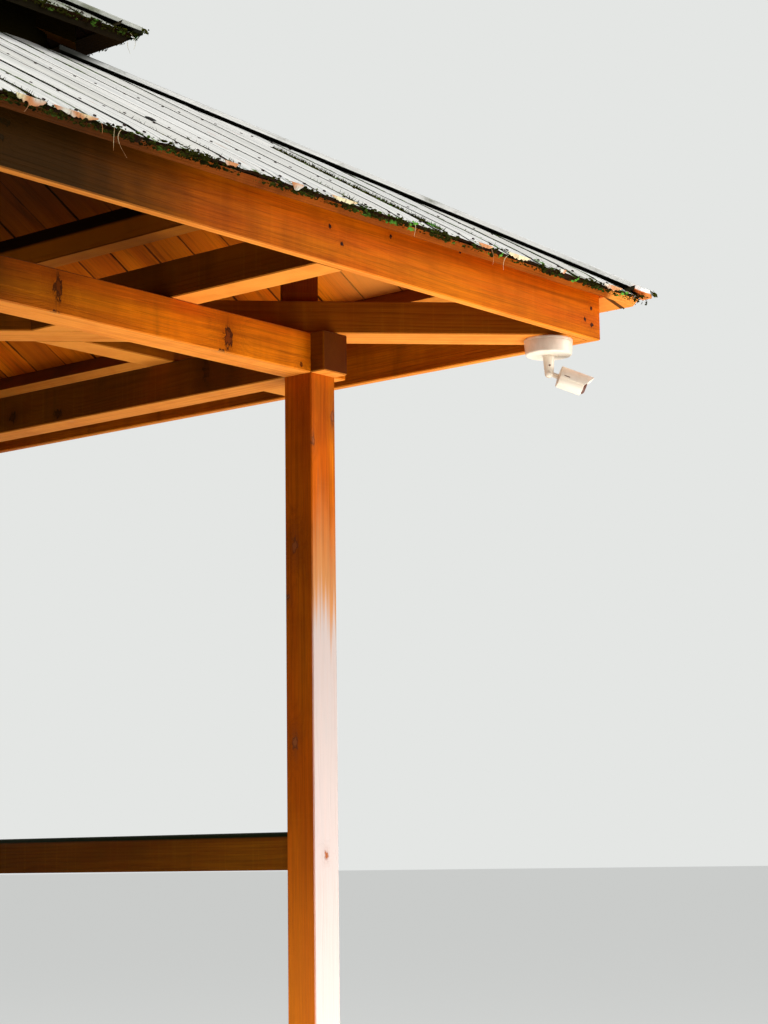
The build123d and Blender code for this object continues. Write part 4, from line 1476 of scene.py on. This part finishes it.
def makeMoss():
    tree, given, result = newGroup("moss", "Geometry", {
        "Geometry": "Geometry", "Tufts": 9000.0, "Tuft Size": 0.006, "Blades": 14000.0,
        "Blade Length": 0.012, "Seed": 5, "Finish": "Material"
    }, {"Geometry": "Geometry"})
    here = form("InputPosition")
    order = form("InputIndex")
    patch = smooth(noise(here, 5, 3, 0.6), 0.36, 0.6)
    givenThick = stored("thick", "FLOAT")
    thick = most(mul(givenThick, patch), minus(givenThick, 2))

    def scatter(density, seed):
        made = add("GeometryNodeDistributePointsOnFaces", {"distribute_method": "RANDOM"},
                   Mesh=given["Geometry"], Density=mul(thick, density))
        plug(made.inputs["Seed"], seed)
        return made.outputs

    tufts = scatter(given["Tufts"], given["Seed"])
    clump = form("MeshIcoSphere", Radius=1.0, Subdivisions=1)
    size = mul(given["Tuft Size"], mulAdd(chance(order, 1, 0.3), 1, 0.3))
    flat = mul(size, mulAdd(chance(order, 2, 0.6), 0.3, 0.14))
    across = mul(size, mulAdd(chance(order, 3, 0.1), 2, 1))
    laid = add("FunctionNodeAlignRotationToVector", {"axis": "Z"}, Vector=tufts["Normal"]).outputs[0]
    tufts = add("GeometryNodeInstanceOnPoints", Points=tufts["Points"], Instance=clump, Rotation=laid,
                Scale=join(across, size, flat)).outputs[0]
    blades = scatter(given["Blades"], plus(given["Seed"], 3))
    blade = add("GeometryNodeMeshCone", {"fill_type": "NONE"}, Vertices=3, Radius_Top=0.0,
                Radius_Bottom=0.0011, Depth=1.0).outputs["Mesh"]
    lean = join(minus(chance(order, 5, 0.4), 0.5), minus(chance(order, 6, 0.5), 0.5),
                minus(chance(order, 7, 0.7), 0.62))
    lean = vector("ADD", blades["Normal"], vector("SCALE", lean, scale=2.2))
    turned = add("FunctionNodeAlignRotationToVector", {"axis": "Z"}, Vector=lean).outputs[0]
    length = mul(given["Blade Length"], mulAdd(chance(order, 8, 0.9), 1, 0.4))
    blades = add("GeometryNodeInstanceOnPoints", Points=blades["Points"], Instance=blade, Rotation=turned,
                 Scale=join(1, 1, length)).outputs[0]
    both = form("RealizeInstances", Geometry=combined(tufts, blades))
    rough = noise(here, 150, output="Color")
    shift = vector("SCALE", vector("SUBTRACT", rough, (0.5, 0.5, 0.5)), scale=0.007)
    both = form("SetPosition", Geometry=both, Offset=shift)
    both = form("SetMaterial", Geometry=both, Material=given["Finish"])
    plug(result["Geometry"], both)
    return tree


def mossFur():
    made, surface, here, normal = newMaterial("mossFur")
    clump = noise(here, (16, 16, 60), 3, 0.6)
    fine = noise(here, 170, 2)
    color = blend(smooth(clump, 0.36, 0.5), (34, 32, 10), (76, 78, 24))
    color = layered(color, (smooth(clump, 0.57, 0.66), (112, 152, 58)),
                    (smooth(fine, 0.45, 0.7, 0.65), (24, 24, 7)))
    shadowed = smooth(split(normal)[2], 0.4, -0.4)
    color = blend(mul(shadowed, 0.75), color, (16, 16, 5))
    sunny = smooth(noise(here, 13, 2), 0.58, 0.64)
    sunny = mul(sunny, smooth(split(here)[0], 0.7, 1))
    color = blend(mul(sunny, 0.75), color, (104, 172, 62))
    coat(surface, color, mulAdd(fine, 0.2, 0.8), 0.0, fine, 0.003)
    return made


def torn(points, thickness):
    shape = bmesh.new()
    shifts = [Vector((0, depth, 0)) for depth in (0, thickness)]
    plate(shape, *([[shape.verts.new(Vector(point) + shift) for point in line] for line in points]
                   for shift in shifts))
    return shape


# Splintered end of a board that curls down over the eave
def tornLip(half, level, start, width, drop):
    columns = max(6, int(width / 0.006))
    rows = [[], [], []]
    for step in range(columns + 1):
        share = step / columns
        x = start + width * share
        bite = max(0.12, math.sin(math.pi * share) ** 0.5) * chooser.uniform(0.45, 1.0) * drop
        curl = chooser.uniform(0.0, 0.0015)
        rows[0].append((x, -half - 0.0012 + 0.010, level + 0.0052))
        rows[1].append((x, -half - 0.0012 + curl, level + 0.0008))
        rows[2].append((x, -half - 0.0005 + curl + bite * 0.35, level - bite))
    return torn(rows, eaves["lipThick"])


# A thin rootlet or dry stalk that hangs off the eave
def root(half, level, x, length):
    shape = bmesh.new()
    drift = Vector((chooser.uniform(-0.5, 0.5), chooser.uniform(-0.1, 0.25), -1.0)) * length
    bend = Vector((chooser.uniform(-0.35, 0.35), 0, chooser.uniform(0.0, 0.25))) * length
    rings = []
    for step in range(9):
        share = step / 8
        place = Vector((x, -half + 0.004, level - 0.006)) + drift * share + bend * math.sin(math.pi * share)
        radius = eaves["rootRadius"] * (1 - 0.6 * share)
        around = [Vector((math.cos(turn), math.sin(turn), 0)) for turn in (0, 2.1, 4.2)]
        rings.append([shape.verts.new(place + out * radius) for out in around])
    for first, second in zip(rings, rings[1:]):
        bridge(shape, first + first[:1], second + second[:1])
    bmesh.ops.recalc_face_normals(shape, faces=shape.faces)
    return shape


def tornWood():
    made, surface, here, normal = newMaterial("tornWood")
    patch = noise(here, 7, 2)
    fibre = noise(here, (160, 160, 22), 3)
    color = blend(smooth(patch, 0.46, 0.56), (238, 224, 176), (204, 132, 76))
    color = layered(color, (smooth(patch, 0.58, 0.66), (222, 222, 206)),
                    (smooth(fibre, 0.5, 0.7, 0.6), (120, 84, 44)))
    coat(surface, color, mulAdd(fibre, 0.2, 0.65), None, fibre, 0.001)
    return made


def buildEaves():
    guide = mossGuide()
    piece = grow("eaveMoss", makeMoss(), {"Tufts": eaves["tufts"], "Tuft Size": eaves["tuftSize"],
                                          "Blades": eaves["blades"], "Blade Length": eaves["bladeLength"],
                                          "Finish": mossFur()}, guide)
    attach(piece, "pavilion")
    shapes = []
    first, last = eaves["seen"]
    for quarter, turn, half, peak in eaveLines():
        level = peak - roofRise * half
        front = quarter == 0 and half == lowerEave
        lips = list(frontLips) if front else []
        for step in range(eaves["lips"] if half == lowerEave else 0):
            start = chooser.uniform(-half + 0.05, half - 0.15)
            if quarter or not first <= start <= last:
                lips.append((start, chooser.uniform(*eaves["lipWidth"]), chooser.uniform(*eaves["lipDrop"])))
        made = [tornLip(half, level, *lip) for lip in lips]
        roots = list(frontRoots) if front else []
        for step in range(int(eaves["roots"] * half / lowerEave)):
            roots.append((chooser.uniform(-half, half), chooser.uniform(*eaves["rootLength"])))
        made += [root(half, level, x, length) for x, length in roots]
        for shape in made:
            shape.transform(turn.to_4x4())
        shapes += made
    show("eaveSplinters", meshFrom("eaveSplinters", *shapes), "pavilion", None, [tornWood()])
    return piece


dressTimbers()
dressRest()
print("timbers dressed")
roofPieces = buildRoofs()
print("roof boards laid:", sum(len(piece.data.polygons) for piece in roofPieces), "faces")
buildBenches()
print("benches planked")
buildFixture()
print("security camera built")
buildNails()
print("nails driven")
moss = buildEaves()
print("eaves overgrown:", len(moss.data.polygons), "faces")
